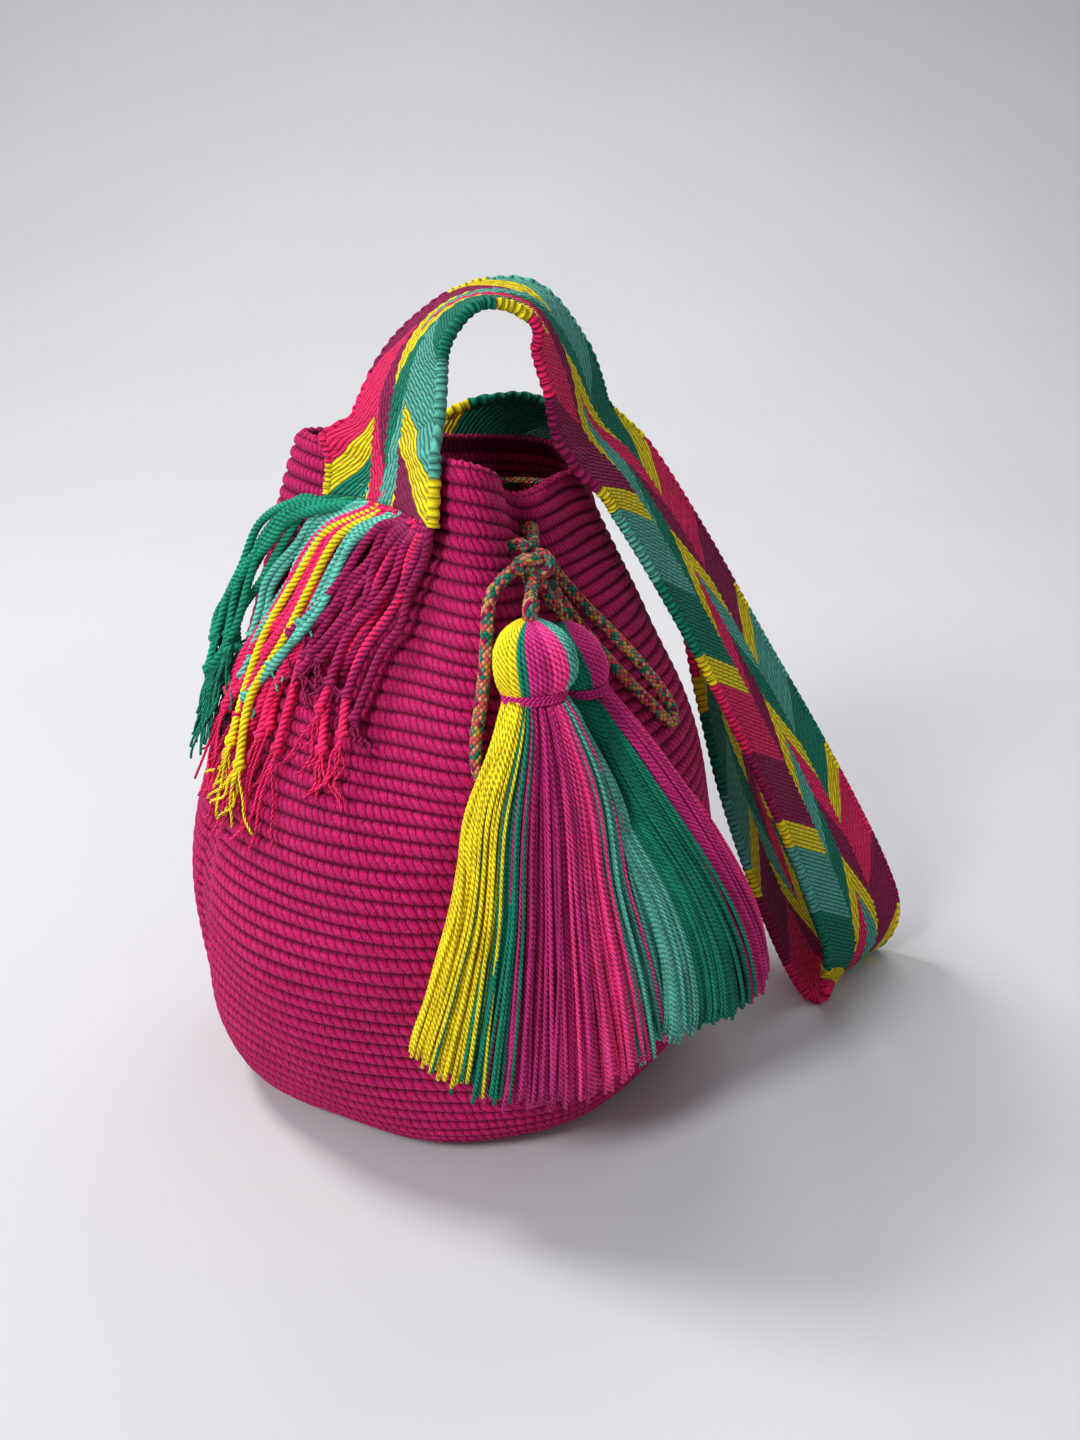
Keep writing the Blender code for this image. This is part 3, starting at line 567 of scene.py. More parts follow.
def strap_material():
    """Plaited zigzag bands; u runs across the strap 0-1, v is metres along it."""
    n = Nodes("woven_strap", 0.85, 0.04)
    u, v = n.uv()
    along = n.over(n.minus(v, PLAIT_START), PLAIT_REPEAT)
    tooth = n.math("PINGPONG", n.times(along, 26.0), 0.5)
    across = n.add(u, n.times(n.minus(tooth, 0.25), 0.045))
    middle = n.times(n.minus(u, LANE_MIDDLE), INNER_SLANT)
    lane_phases = (
        n.minus(along, n.times(u, OUTER_SLANT)),
        n.add(n.add(along, 0.5), middle),
        n.minus(n.minus(along, 0.5), middle),
        n.add(n.add(along, 1.0 - OUTER_SLANT), n.times(u, OUTER_SLANT)),
    )
    phase = lane_phases[0]
    strands = OUTER_STRANDS
    for limit, lane_phase, lane_strands in zip(LANE_LIMITS, lane_phases[1:],
                                               (INNER_STRANDS, INNER_STRANDS, OUTER_STRANDS)):
        past = n.math("GREATER_THAN", across, limit)
        phase = n.blend(past, phase, lane_phase)
        strands = n.blend(past, strands, lane_strands)
    count = n.times(phase, strands)
    stepped = n.over(n.floor(count), strands)
    turn = n.fract(n.times(n.add(stepped, 20.0), 0.5))
    bands = n.bands(turn, ((0.0, YELLOW), (0.075, PINK), (0.285, BURGUNDY), (0.5, YELLOW),
                           (0.575, AQUA), (0.785, GREEN)))
    strand = n.ridge(count)
    segment = n.ridge(n.add(n.times(along, 14.0), n.times(n.floor(count), 0.37)))
    ply = n.noise(1300.0, 2.0)
    height = n.times(n.math("POWER", strand, 0.7), n.remap(segment, 0.0, 0.6, 0.35, 1.0))
    n.bump(n.add(height, n.times(ply, 0.25)), 1.0, 0.0016)
    # Painted shade: the colour darkens in the grooves between strands and between their segments; the coarse
    # noise after it is random tone.
    shade = n.times(n.remap(strand, 0.0, 0.55, 0.38, 1.05), n.remap(segment, 0.0, 0.4, 0.60, 1.0))
    shade = n.times(shade, n.remap(n.noise(45.0, 2.0), 0.3, 0.7, 0.90, 1.08))
    return n.colour(n.scaled(bands, shade))


def thread_material(name, colour, plies, pitch):
    """Twisted yarn: u turns once round it, v is metres along it, and each yarn has its own shade."""
    n = Nodes(name, 0.75, 0.04)
    u, v = n.uv()
    twist = n.add(n.times(u, float(plies)), n.over(v, pitch))
    ply = n.ridge(twist)
    fibre = n.noise(1600.0, 2.0)
    n.bump(n.add(ply, n.times(fibre, 0.3)), 1.0, 0.0008)
    streak = n.noise(120.0, 1.0)
    each = n.random(n.floor(v), "1D", "W")
    # Painted shade in the grooves between plies and painted highlight on their crests; the streak and each
    # terms are random tone of the yarn.
    shade = n.times(n.remap(ply, 0.0, 0.7, 0.50, 1.38), n.remap(streak, 0.3, 0.7, 0.86, 1.12))
    shade = n.times(shade, n.remap(each, 0.0, 1.0, 0.80, 1.20))
    pale = tuple(min(1.0, c * 0.8 + 0.16) for c in colour)
    lift = n.remap(fibre, 0.55, 0.75, 0.0, 0.22)
    return n.colour(n.scaled(n.mix(lift, colour, pale), shade))


def braid_material():
    """Round braid of many colours; u turns round the cord, v is metres along it."""
    n = Nodes("braided_drawstring", 0.8, 0.04)
    u, v = n.uv()
    one = n.add(n.times(u, BRAID_STRANDS), n.over(v, BRAID_PITCH))
    two = n.minus(n.times(u, BRAID_STRANDS), n.over(v, BRAID_PITCH))
    cell = n.random(n.pair(n.floor(one), n.floor(two)), "3D", "Vector")
    bands = n.bands(cell, ((0.0, CORAL), (0.30, OCHRE), (0.44, GREEN), (0.60, DULL_GREEN),
                           (0.74, BURGUNDY), (0.86, SALMON)))
    height = n.times(n.ridge(one), n.ridge(two))
    n.bump(n.add(height, n.times(n.noise(1500.0, 2.0), 0.2)), 0.8, 0.0008)
    # Painted shade: the colour darkens between the raised cells where the strands cross.
    return n.colour(n.scaled(bands, n.remap(height, 0.0, 0.55, 0.42, 1.0)))


def sweep_material():
    """Pale sweep with painted light: its colour grows a little brighter far behind the bag."""
    n = Nodes("pale_sweep", 0.9, 0.0)
    split = n.tree.nodes.new("ShaderNodeSeparateXYZ")
    n.link(n.place(), split.inputs[0])
    # Painted light: the colour rises from near the bag to far behind it; the soft noise is random tone.
    far = n.remap(split.outputs[1], 0.2, 2.2, 0.62, 0.74)
    soft = n.remap(n.noise(3.0, 3.0), 0.3, 0.7, 0.985, 1.015)
    return n.colour(n.scaled((1.0, 1.0, 1.035), n.times(far, soft)))


# ---------------------------------------------------------------- the bag
def wall_undulation(theta, height):
    """Soft hand-made unevenness of the wall, in metres."""
    soft = (0.0010 * np.sin(3.0 * theta + 21.0 * height) + 0.0008 * np.sin(5.0 * theta - 33.0 * height + 1.0)
            + 0.0005 * np.sin(9.0 * theta + 60.0 * height + 2.0))
    crease_angle = np.radians(-66.0 + 60.0 * (height - 0.12))
    crease = np.exp(-((theta - crease_angle) / 0.075) ** 2) * np.exp(-((height - 0.11) / 0.055) ** 2)
    return 1.3 * soft - 0.0014 - 0.0070 * crease


def eyelet_dimple(points):
    """How far the wall is drawn in round the eyelets."""
    pull = np.zeros(points.shape[:-1])
    for angle, height in EYELETS:
        centre, _ = eyelet_frame(angle, height)
        distance = np.linalg.norm(points - centre, axis=-1)
        pull += 0.0050 * np.exp(-(distance / 0.0042) ** 4)
    return pull


def build_bag(material):
    theta = np.linspace(-np.pi, np.pi, BAG_COLUMNS, endpoint=False)
    rows = int((WALL_LENGTH - BASE_END) / ROW_PITCH)
    pitch = (WALL_LENGTH - BASE_END) / rows
    levels = [(along, 0.0, along / pitch) for along in np.arange(0.012, BASE_END - 0.004, 0.0115)]
    for row in range(rows):
        for part, crest in ROW_SAMPLES:
            levels.append((BASE_END + (row + part) * pitch, crest, row + part))
    rings = []
    row_numbers = []
    for along, crest, number in levels:
        wander = 0.0005 * np.sin(2.0 * theta + number * 0.7)
        wander += 0.0003 * np.sin(7.0 * theta + number * 1.9)
        reach = np.clip(along + wander * (along > BASE_END + 0.02), 0.001, WALL_LENGTH)
        points = bag_points(theta, reach)
        normals = bag_normals(theta, reach)
        swell = crest * ROW_DEPTH * min(1.0, max(0.0, (along - BASE_END + 0.004) / 0.012))
        swell = swell + np.where(along > 0.10, wall_undulation(theta, points[:, 2]), 0.0)
        swell = swell - eyelet_dimple(points)
        moved = points + normals * np.asarray(swell)[:, None]
        moved[:, 2] = np.maximum(moved[:, 2], 0.0)
        rings.append(moved)
        row_numbers.append(number)
    rim = bag_points(theta, np.full(BAG_COLUMNS, WALL_LENGTH))
    rim_normal = bag_normals(theta, np.full(BAG_COLUMNS, WALL_LENGTH))
    rim_normal[:, 2] = 0.0
    rim_normal = unit(rim_normal)
    stitch = 0.0005 * np.sin(theta * 110.0)[:, None] * np.array([0.0, 0.0, 1.0])
    for inward, lift, number in ((0.0006, -0.0004, 0.0), (-0.0010, 0.0012, 0.5), (-0.0030, 0.0014, 0.8),
                                 (-0.0046, -0.0006, 1.0)):
        rings.append(rim + rim_normal * inward + np.array([0.0, 0.0, lift]) + stitch)
        row_numbers.append(rows + number)
    for row in range(rows - 1, 8, -1):
        along = BASE_END + row * pitch
        points = bag_points(theta, np.full(BAG_COLUMNS, along))
        normals = bag_normals(theta, np.full(BAG_COLUMNS, along))
        rings.append(points - normals * (WALL + 0.0004 * (row % 2)))
        row_numbers.append(2.0 * rows - row)
    for radius in (0.100, 0.050, 0.012):
        rings.append(polar(np.degrees(theta), radius, WALL))
        row_numbers.append(2.0 * rows)
    vertices = np.array(rings)
    quads, corner_row, corner_col = grid_quads(len(rings), BAG_COLUMNS, True)
    u = corner_col * (2.0 * np.pi * STITCH_RADIUS / BAG_COLUMNS)
    v = np.array(row_numbers)[corner_row]
    count = len(rings) * BAG_COLUMNS
    caps = [range(BAG_COLUMNS - 1, -1, -1), range(count - BAG_COLUMNS, count)]
    return add_mesh("crochet_bag", vertices.reshape(-1, 3), quads, np.stack([u, v], -1), [material], caps)


# ---------------------------------------------------------------- the strap
def strap_frames(stations):
    """Centre, across direction and distance along the band at each station of the strap."""
    rows = smooth_route([centre + across for centre, across in STRAP_ROUTE], 900)
    along = distances(rows[:, :3])
    places = np.linspace(0.0, along[-1], stations)
    rows = np.stack([np.interp(places, along, rows[:, i]) for i in range(6)], axis=1)
    centres = rows[:, :3]
    tangents = unit(np.gradient(centres, axis=0))
    across = rows[:, 3:]
    across = across - tangents * np.sum(across * tangents, axis=1, keepdims=True)
    return centres, unit(across), places


def strap_sheet(stations, lanes):
    """Middle surface of the band, pushed clear of the bag's wall and the floor."""
    centres, across, places = strap_frames(stations)
    lane = np.linspace(-0.5, 0.5, lanes)
    sheet = centres[:, None, :] + across[:, None, :] * lane[None, :, None] * STRAP_WIDTH
    angle = np.degrees(np.arctan2(sheet[..., 0], -sheet[..., 1]))
    reach = np.hypot(sheet[..., 0], sheet[..., 1])
    need = clear_radius(angle, sheet[..., 2], 4.0) + STRAP_THICKNESS / 2.0 + 0.0012
    rim = bag_points(np.radians(angle), np.full(angle.shape, WALL_LENGTH))[..., 2]
    blend = np.clip((0.012 - (sheet[..., 2] - rim)) / 0.006, 0.0, 1.0) * (reach < need)
    sheet = polar(angle, reach + (need - reach) * blend, sheet[..., 2])
    sheet[..., 2] = np.maximum(sheet[..., 2], STRAP_THICKNESS / 2.0)
    return sheet, places


def sheet_normals(sheet):
    """Unit normals of a sheet of points."""
    return unit(np.cross(np.gradient(sheet, axis=1), np.gradient(sheet, axis=0)))


# The front end of the strap, which the fringe comes out of.
FRONT_SHEET = strap_sheet(200, 41)[0]
STRAP_END = FRONT_SHEET[0]
STRAP_END_INWARD = unit(FRONT_SHEET[3, 20] - FRONT_SHEET[0, 20])


def build_strap(material):
    stations = 620
    lanes = 30
    sheet, places = strap_sheet(stations, lanes)
    normal = sheet_normals(sheet)
    side = unit(sheet[:, -1] - sheet[:, 0])
    lane = np.linspace(0.0, 1.0, lanes)
    beads = 0.0013 * np.abs(np.sin(places * math.pi / 0.0042))
    rounding = np.clip(np.minimum(lane, 1.0 - lane) / 0.045, 0.0, 1.0) ** 0.5
    ripple = 0.00025 * np.sin(places[:, None] * 2.0 * math.pi / 0.0062 + lane[None, :] * 40.0)
    half = STRAP_THICKNESS / 2.0 * (0.45 + 0.55 * rounding)[None, :] + ripple
    top = sheet + normal * half[..., None]
    under = sheet - normal * half[..., None]
    near_edge = (sheet[:, 0] - side * (0.0003 + beads)[:, None])[:, None]
    far_edge = (sheet[:, -1] + side * (0.0003 + beads)[:, None])[:, None]
    rings = np.concatenate([near_edge, top, far_edge, under[:, ::-1]], axis=1)
    rings[..., 2] = np.maximum(rings[..., 2], 0.0)
    size = rings.shape[1]
    quads, corner_row, corner_col = grid_quads(stations, size, True)
    ring_u = np.concatenate([[0.0], lane, [1.0], lane[::-1], [0.0]])
    uv = np.stack([ring_u[corner_col], places[corner_row]], -1)
    count = stations * size
    half_ring = size // 2
    end_quads = []
    for base in (0, count - size):
        for j in range(half_ring - 1):
            k = size - 1 - j
            quad = [base + j + 1, base + j, base + (k + 1) % size, base + k]
            end_quads.append(quad if base == 0 else quad[::-1])
    return add_mesh("plaited_strap", rings.reshape(-1, 3), quads, uv, [material], end_quads)


def build_strap_edges(material):
    """The turned strands along both edges of the band, as a lobed cord on each."""
    stations = 1300
    sides = 10
    sheet, places = strap_sheet(stations, 30)
    normal = sheet_normals(sheet)
    turn = 2.0 * np.pi * np.arange(sides) / sides
    vertices = []
    quads = []
    corner_uv = []
    caps = []
    faces, corner_row, _ = grid_quads(stations, sides, True)
    for lane, next_lane, place in ((0, 1, 0.015), (-1, -2, 0.985)):
        inward = unit(sheet[:, next_lane] - sheet[:, lane])
        lobes = np.abs(np.sin(turn[None, :] - places[:, None] * math.pi / EDGE_PITCH))
        reach = EDGE_RADIUS * (0.72 + 0.34 * lobes)
        centre = sheet[:, lane] + inward * 0.0008
        ring = (inward[:, None, :] * (np.cos(turn)[None, :] * reach)[..., None]
                + normal[:, lane][:, None, :] * (np.sin(turn)[None, :] * reach)[..., None])
        points = centre[:, None, :] + ring
        points[..., 2] = np.maximum(points[..., 2], 0.0)
        first = len(vertices) * stations * sides
        last = first + (stations - 1) * sides
        vertices.append(points.reshape(-1, 3))
        quads.append(faces + first)
        corner_uv.append(np.stack([np.full(corner_row.shape, place), places[corner_row]], -1))
        caps.append(range(first, first + sides))
        caps.append(range(last + sides - 1, last - 1, -1))
    return add_mesh("strap_edge_cords", np.vstack(vertices), np.vstack(quads), np.vstack(corner_uv),
                    [material], caps)


def build_end_stitches(material):
    """Stitches that fasten the strap's other end to the back of the bag."""
    sheet, _ = strap_sheet(400, 31)
    end = sheet[-1]
    onward = unit(sheet[-1] - sheet[-5])
    paths = []
    for lane in range(2, 30, 2):
        out = unit(end[lane] * np.array([1.0, 1.0, 0.0]))
        slant = (end[lane] - end[lane - 1]) * 0.5
        points = [end[lane] - onward[lane] * 0.0055 + out * 0.0012 - slant,
                  end[lane] - onward[lane] * 0.0035 + out * 0.0028 - slant * 0.5,
                  end[lane] + onward[lane] * 0.0012 + out * 0.0020 + slant * 0.5,
                  end[lane] + onward[lane] * 0.0038 - out * 0.0030 + slant]
        paths.append(smooth_route(points, 14))
    return add_tubes("strap_end_stitches", np.array(paths), 0.0008, 6, [material])


# ---------------------------------------------------------------- the fringe
# Each group: colour, cords, places across the strap's end (0 near edge, 1 far edge), the routes of its
# first and last cords as (angle, height) on the bag, layers off the wall, yarns a tip, yarn lengths.
FRINGE_GROUPS = (
    ("green", 10, (1.00, 0.82),
     ((-88.0, 0.2800), (-96.0, 0.2650), (-100.0, 0.2440), (-99.5, 0.2240), (-96.0, 0.2060)),
     ((-80.0, 0.2740), (-86.0, 0.2590), (-87.0, 0.2400), (-85.0, 0.2200), (-80.0, 0.2020)),
     (1.2, 4.6), 13, (0.026, 0.044)),
    ("aqua", 5, (0.80, 0.66),
     ((-80.0, 0.2760), (-82.7, 0.2600), (-86.0, 0.2440), (-86.0, 0.2290), (-83.0, 0.2137)),
     ((-68.0, 0.2700), (-72.0, 0.2540), (-74.0, 0.2370), (-74.0, 0.2220), (-72.0, 0.2080)),
     (0.2, 1.2), 5, (0.008, 0.014)),
    ("pink", 9, (0.66, 0.34),
     ((-70.0, 0.2720), (-74.0, 0.2560), (-74.0, 0.2350), (-78.0, 0.2130), (-82.0, 0.1950)),
     ((-38.0, 0.2680), (-43.0, 0.2500), (-48.0, 0.2280), (-47.0, 0.2050), (-41.0, 0.1820)),
     (0.2, 1.7), 4, (0.030, 0.046)),
    ("aqua", 3, (0.42, 0.28),
     ((-46.0, 0.2740), (-51.0, 0.2560), (-54.0, 0.2400), (-56.0, 0.2220), (-63.6, 0.2015)),
     ((-38.0, 0.2720), (-43.0, 0.2570), (-46.0, 0.2450), (-48.0, 0.2380), (-50.0, 0.2300)),
     (1.6, 2.4), 4, (0.006, 0.012)),
    ("yellow", 2, (0.60, 0.48),
     ((-72.0, 0.2690), (-75.5, 0.2480), (-77.2, 0.2250), (-74.0, 0.2020), (-60.0, 0.1760)),
     ((-50.0, 0.2700), (-54.0, 0.2480), (-56.0, 0.2250), (-54.0, 0.2020), (-46.0, 0.1800)),
     (1.8, 2.5), 7, (0.022, 0.034)),
    ("burgundy", 10, (0.30, 0.00),
     ((-28.0, 0.2790), (-37.0, 0.2670), (-44.0, 0.2540), (-50.0, 0.2430), (-57.0, 0.2290)),
     ((-1.0, 0.2740), (-6.0, 0.2590), (-12.0, 0.2440), (-18.0, 0.2300), (-22.0, 0.2080)),
     (0.3, 2.2), 5, (0.010, 0.018)),
    ("pink", 3, (0.20, 0.04),
     ((-18.0, 0.2740), (-26.0, 0.2540), (-33.0, 0.2350), (-37.0, 0.2140), (-36.0, 0.1960)),
     ((-7.0, 0.2690), (-13.0, 0.2520), (-20.0, 0.2310), (-25.0, 0.2110), (-24.5, 0.1930)),
     (0.3, 1.4), 4, (0.022, 0.034)),
)
FRINGE_COLOURS = {"green": GREEN, "aqua": AQUA, "pink": PINK, "yellow": YELLOW, "burgundy": BURGUNDY}
FRINGE_LAYER = 0.0034
FRINGE_RADIUS = 0.0021
FRINGE_YARN = 0.00065
FRINGE_TWIST = 0.0084
FRINGE_STEPS = 170


def fringe_cord(group, f):
    """One cord's route: out of the strap's end, over the wall, f from the group's first to its last."""
    _, _, places, first, last, layers, _, _ = group
    place = places[0] + (places[1] - places[0]) * f
    wall = np.array(first) * (1.0 - f) + np.array(last) * f
    wall[1:, 0] += rng.uniform(-3.4, 3.4, len(wall) - 1)
    wall[-1, 1] += rng.uniform(-0.010, 0.010)
    wall[1:-1, 1] += rng.uniform(-0.002, 0.002, len(wall) - 2)
    layer = rng.uniform(*layers)
    lift = 0.0028 + FRINGE_LAYER * layer * np.linspace(0.75, 1.0, len(wall))
    lift += rng.uniform(0.0, 0.0012, len(wall))
    reach = clear_radius(wall[:, 0], wall[:, 1], 2.5) + lift
    end = STRAP_END[int(round(place * (len(STRAP_END) - 1)))]
    inward = STRAP_END_INWARD * 0.006
    points = [end + inward, end - inward * 0.5] + list(polar(wall[:, 0], reach, wall[:, 1]))
    path = evenly_spaced(smooth_route(points, 400), FRINGE_STEPS)
    angle = np.degrees(np.arctan2(path[:, 0], -path[:, 1]))
    need = clear_radius(angle, path[:, 2], 1.0) + FRINGE_RADIUS + 0.0004
    now = np.hypot(path[:, 0], path[:, 1])
    free = np.clip((0.2800 - path[:, 2]) / 0.006, 0.0, 1.0)
    return polar(angle, now + np.maximum(need - now, 0.0) * free, path[:, 2])


def frayed_yarns(cord, count, lengths):
    """Loose yarns from a cord's tip, falling and curling over the wall."""
    tip = cord[-1]
    angle = math.degrees(math.atan2(tip[0], -tip[1]))
    gap = math.hypot(tip[0], tip[1]) - float(clear_radius(angle, tip[2], 1.0))
    t = np.linspace(0.0, 1.0, 14)
    yarns = []
    for _ in range(count):
        length = rng.uniform(*lengths)
        drift = rng.uniform(-9.0, 9.0)
        curl = rng.uniform(0.5, 2.4) * np.sin(t * rng.uniform(5.0, 11.0) + rng.uniform(0.0, 6.0)) * t
        yarn_angle = angle + rng.uniform(-0.5, 0.5) + drift * t ** 1.3 + curl
        yarn_height = tip[2] + 0.004 - length * t * rng.uniform(0.75, 1.0)
        lift = gap * (1.0 - 0.4 * t) + rng.uniform(-0.002, 0.003) * t + 0.001 * np.sin(t * rng.uniform(3, 9))
        yarns.append(polar(yarn_angle, bag_radius(yarn_angle, yarn_height) + np.maximum(lift, 0.0014),
                           yarn_height))
    return yarns


def fringe_paths():
    """Cord routes over the bag's wall, and the loose yarns that fray out of their tips."""
    cords = []
    yarns = []
    cord_colour = []
    yarn_colour = []
    for group in FRINGE_GROUPS:
        colour = list(FRINGE_COLOURS).index(group[0])
        for i in range(group[1]):
            cord = fringe_cord(group, (i + 0.5) / group[1])
            cords.append(cord)
            cord_colour.append(colour)
            loose = frayed_yarns(cord, group[6], group[7])
            yarns += loose
            yarn_colour += [colour] * len(loose)
    return np.array(cords), cord_colour, np.array(yarns), yarn_colour


def build_fringe(materials):
    cords, cord_colour, yarns, yarn_colour = fringe_paths()
    s = np.linspace(0.0, 1.0, FRINGE_STEPS)
    knot = 0.55 * np.exp(-((s - 0.975) / 0.012) ** 2)
    radius = FRINGE_RADIUS * (1.0 + knot) * np.clip((1.004 - s) / 0.012, 0.3, 1.0)

    def rope(turn, along):
        lobes = np.abs(np.sin(1.5 * (turn - 2.0 * np.pi * along / FRINGE_TWIST)))
        return 0.76 + 0.26 * lobes

    ropes = add_tubes("fringe_cords", cords, radius[None, :], 10, materials, cord_colour, rope)
    frayed = add_tubes("fringe_frayed_yarns", yarns, FRINGE_YARN, 5, materials, yarn_colour)
    return ropes, frayed


# ---------------------------------------------------------------- the tassels
def tassel_table(table, height):
    """Angle, half width, gap, thickness and wrap of a tassel at a height, read from its sections."""
    rows = np.array(table)[::-1]
    return [np.interp(height, rows[:, 0], rows[:, i]) for i in (1, 2, 3, 4, 5)]


def tassel_point(table, side, depth, height):
    """A point in the bundle: side -1 to 1 across, depth 0 (near the bag) to 1 (outside)."""
    angle, half_width, gap, thickness, wrap = tassel_table(table, height)
    base = bag_radius(angle, height)
    middle = base + gap + thickness / 2.0
    sideways = half_width * side
    turn_out = np.degrees(sideways / middle)
    flat_radius = middle / np.cos(np.radians(turn_out))
    wrapped = np.maximum(bag_radius(angle + turn_out, height) + gap + thickness / 2.0, middle - 0.004)
    edge = np.sqrt(np.clip(1.0 - np.abs(side) ** 2.5, 0.0, 1.0))
    outward = thickness * (depth - 0.5) * (0.25 + 0.75 * edge)
    return polar(angle + turn_out, flat_radius * (1.0 - wrap) + wrapped * wrap + outward, height)


def stripe_index(place, stripes):
    """Which colour a place from -1 to 1 falls in; stripes lists the right-hand limit of each colour."""
    for index, (limit, _) in enumerate(stripes):
        if place < limit:
            return index
    return len(stripes) - 1


def build_skirt(name, table, neck_height, end_heights, count, stripes, materials, left_reach,
                right_reach):
    """The hanging yarns of a tassel, from its neck to their uneven cut ends."""
    steps = 22
    paths = []
    colours = []
    t = np.linspace(0.0, 1.0, steps)
    shoulders = 1.0 + 0.36 * np.exp(-((t - 0.20) / 0.20) ** 2)
    for i in range(count):
        side = -left_reach + (left_reach + right_reach) * ((i * 0.618034) % 1.0)
        depth = 1.0 - rng.random() ** 1.3
        end = end_heights(side) + rng.normal(0.0, 0.0026)
        height = neck_height + (end - neck_height) * t
        drift = rng.normal(0.0, 0.030) * t ** 1.5
        drift += rng.uniform(-0.03, 0.03) * np.sin(t * rng.uniform(2.0, 6.0))
        neck_side = side * (0.80 + 0.20 * t) * shoulders
        inner = np.clip(neck_side, -1.0, 1.0)
        fanned = inner + (neck_side - inner) * np.minimum(1.0, 2.5 * t)
        spread = np.clip(fanned + drift * np.minimum(1.0, 4.0 * t), -left_reach * 1.3, 1.3)
        depth_line = np.clip(depth + rng.uniform(-0.2, 0.2) * t, 0.0, 1.1)
        paths.append(tassel_point(table, spread, depth_line, height))
        mixed = 0.20 if rng.random() < 0.18 else 0.05
        colours.append(stripes[stripe_index(side + rng.normal(0.0, mixed), stripes)][1])
    radius = YARN_RADIUS * (0.75 + 0.25 * t[None, :]) * rng.uniform(0.88, 1.12, (count, 1))
    return add_tubes(name, np.array(paths), radius, 5, materials, colours)


def build_head(name, table, stripes, materials, count):
    """Yarns drawn over the head from its crown to the neck, all round."""
    top = table[0][0]
    neck = (table[5][0] + table[6][0]) / 2.0
    steps = 16
    t = np.linspace(0.0, 1.0, steps)
    height = top + 0.0006 + (neck - top) * (1.0 - np.cos(t * math.pi)) / 2.0
    angle, half_width, gap, thickness, _ = tassel_table(table, height)
    squeeze = np.where(t < 0.10, t / 0.10 * 0.75 + 0.25, 1.0)
    paths = []
    colours = []
    for i in range(count):
        turn = 2.0 * math.pi * i / count + rng.uniform(-0.02, 0.02)
        swirl = turn + 0.10 * np.sin(t * 2.0 + turn)
        middle = bag_radius(angle, height) + gap + thickness / 2.0
        across = (half_width - YARN_RADIUS * 0.3) * np.cos(swirl) * squeeze
        out = (thickness / 2.0 - YARN_RADIUS * 0.3) * np.sin(swirl) * squeeze
        turn_out = np.degrees(across / middle)
        paths.append(polar(angle + turn_out, middle / np.cos(np.radians(turn_out)) + out, height))
        colours.append(stripes[stripe_index(math.cos(turn) + rng.normal(0.0, 0.02), stripes)][1])
    return add_tubes(name, np.array(paths), YARN_RADIUS * 1.2, 7, materials, colours)


def build_core(name, table, material):
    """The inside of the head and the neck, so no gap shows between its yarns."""
    sides = 24
    inset = 0.0024
    turn = 2.0 * np.pi * np.arange(sides) / sides
    rings = []
    for height, angle, half_width, gap, thickness, _ in table[:8]:
        middle = bag_radius(angle, height) + gap + thickness / 2.0
        across = (half_width - inset) * np.cos(turn)
        out = (thickness / 2.0 - inset) * np.sin(turn)
        rings.append(polar(angle + np.degrees(across / middle), middle + out, height - 0.0012))
    quads, corner_row, corner_col = grid_quads(len(rings), sides, True)
    uv = np.stack([corner_col / sides, corner_row * 0.004], -1)
    count = len(rings) * sides
    caps = [range(sides - 1, -1, -1), range(count - sides, count)]
    return add_mesh(name, np.array(rings).reshape(-1, 3), quads, uv, [material], caps)


def build_binding(name, table, material):
    """Thread wound three times round a tassel's neck."""
    t = np.linspace(0.0, 1.0, 120)
    turn = 2.0 * np.pi * 3.0 * t
    height = table[5][0] + 0.0006 - t * (table[5][0] - table[6][0] + 0.0010)
    angle, half_width, gap, thickness, _ = tassel_table(table, height)
    out = thickness / 2.0 + 0.0008
    middle = bag_radius(angle, height) + gap + out
    across = (half_width + 0.0008) * np.cos(turn)
    path = polar(angle + np.degrees(across / middle), middle + out * np.sin(turn), height)
    return add_tubes(name, path[None], BINDING_RADIUS, 8, [material])


# ---------------------------------------------------------------- the drawstring
def knot_centre():
    return polar(KNOT_ANGLE, KNOT_REACH, KNOT_HEIGHT)


def lacing_route():
    """From the knot through one eyelet, round the inside of the mouth and out of the other."""
    knot = knot_centre()
    left_centre, left_normal = eyelet_frame(*EYELETS[0])
    right_centre, right_normal = eyelet_frame(*EYELETS[1])
    inside = []
    for angle in np.linspace(EYELETS[0][0] - 12.0, EYELETS[1][0] - 360.0 + 9.0, 26):
        window = [bag_radius(angle + d, 0.272) for d in (-12, -9, -6, -3, 0, 3, 6, 9, 12)]
        inside.append(polar(angle, min(window) - 0.0125, 0.2735))
    lift = np.array([0.0, 0.0, 0.003])
    start = knot + (left_centre + left_normal * 0.006 - knot) * 0.45 + lift
    finish = knot + (right_centre + right_normal * 0.006 - knot) * 0.35 + lift
    route = [start, left_centre + left_normal * 0.0055, left_centre, left_centre - left_normal * 0.0075]
    route += inside
    route += [right_centre - right_normal * 0.0075, right_centre, right_centre + right_normal * 0.0055,
              finish]
    return cord_steps(smooth_route(route, 900))


def loop_route(table):
    points = [polar(angle, clear_radius(angle, height, 3.0) + gap, height) for angle, height, gap in table]
    return cord_steps(smooth_route(points, 400))


def end_route(table):
    """Short tail from the knot to the top of a tassel's head."""
    knot = knot_centre()
    height, angle, _, gap, thickness, _ = table[0]
    head = polar(angle, bag_radius(angle, height) + gap + thickness / 2.0, height)
    start = knot + unit(head - knot) * (KNOT_RADIUS * 0.5)
    middle = (start + head) / 2.0 + np.array([0.0, 0.0, 0.001])
    above = head + np.array([0.0, 0.0, 0.0055])
    inside = head - np.array([0.0, 0.0, 0.0020])
    return cord_steps(smooth_route([start, middle, above, inside], 100))


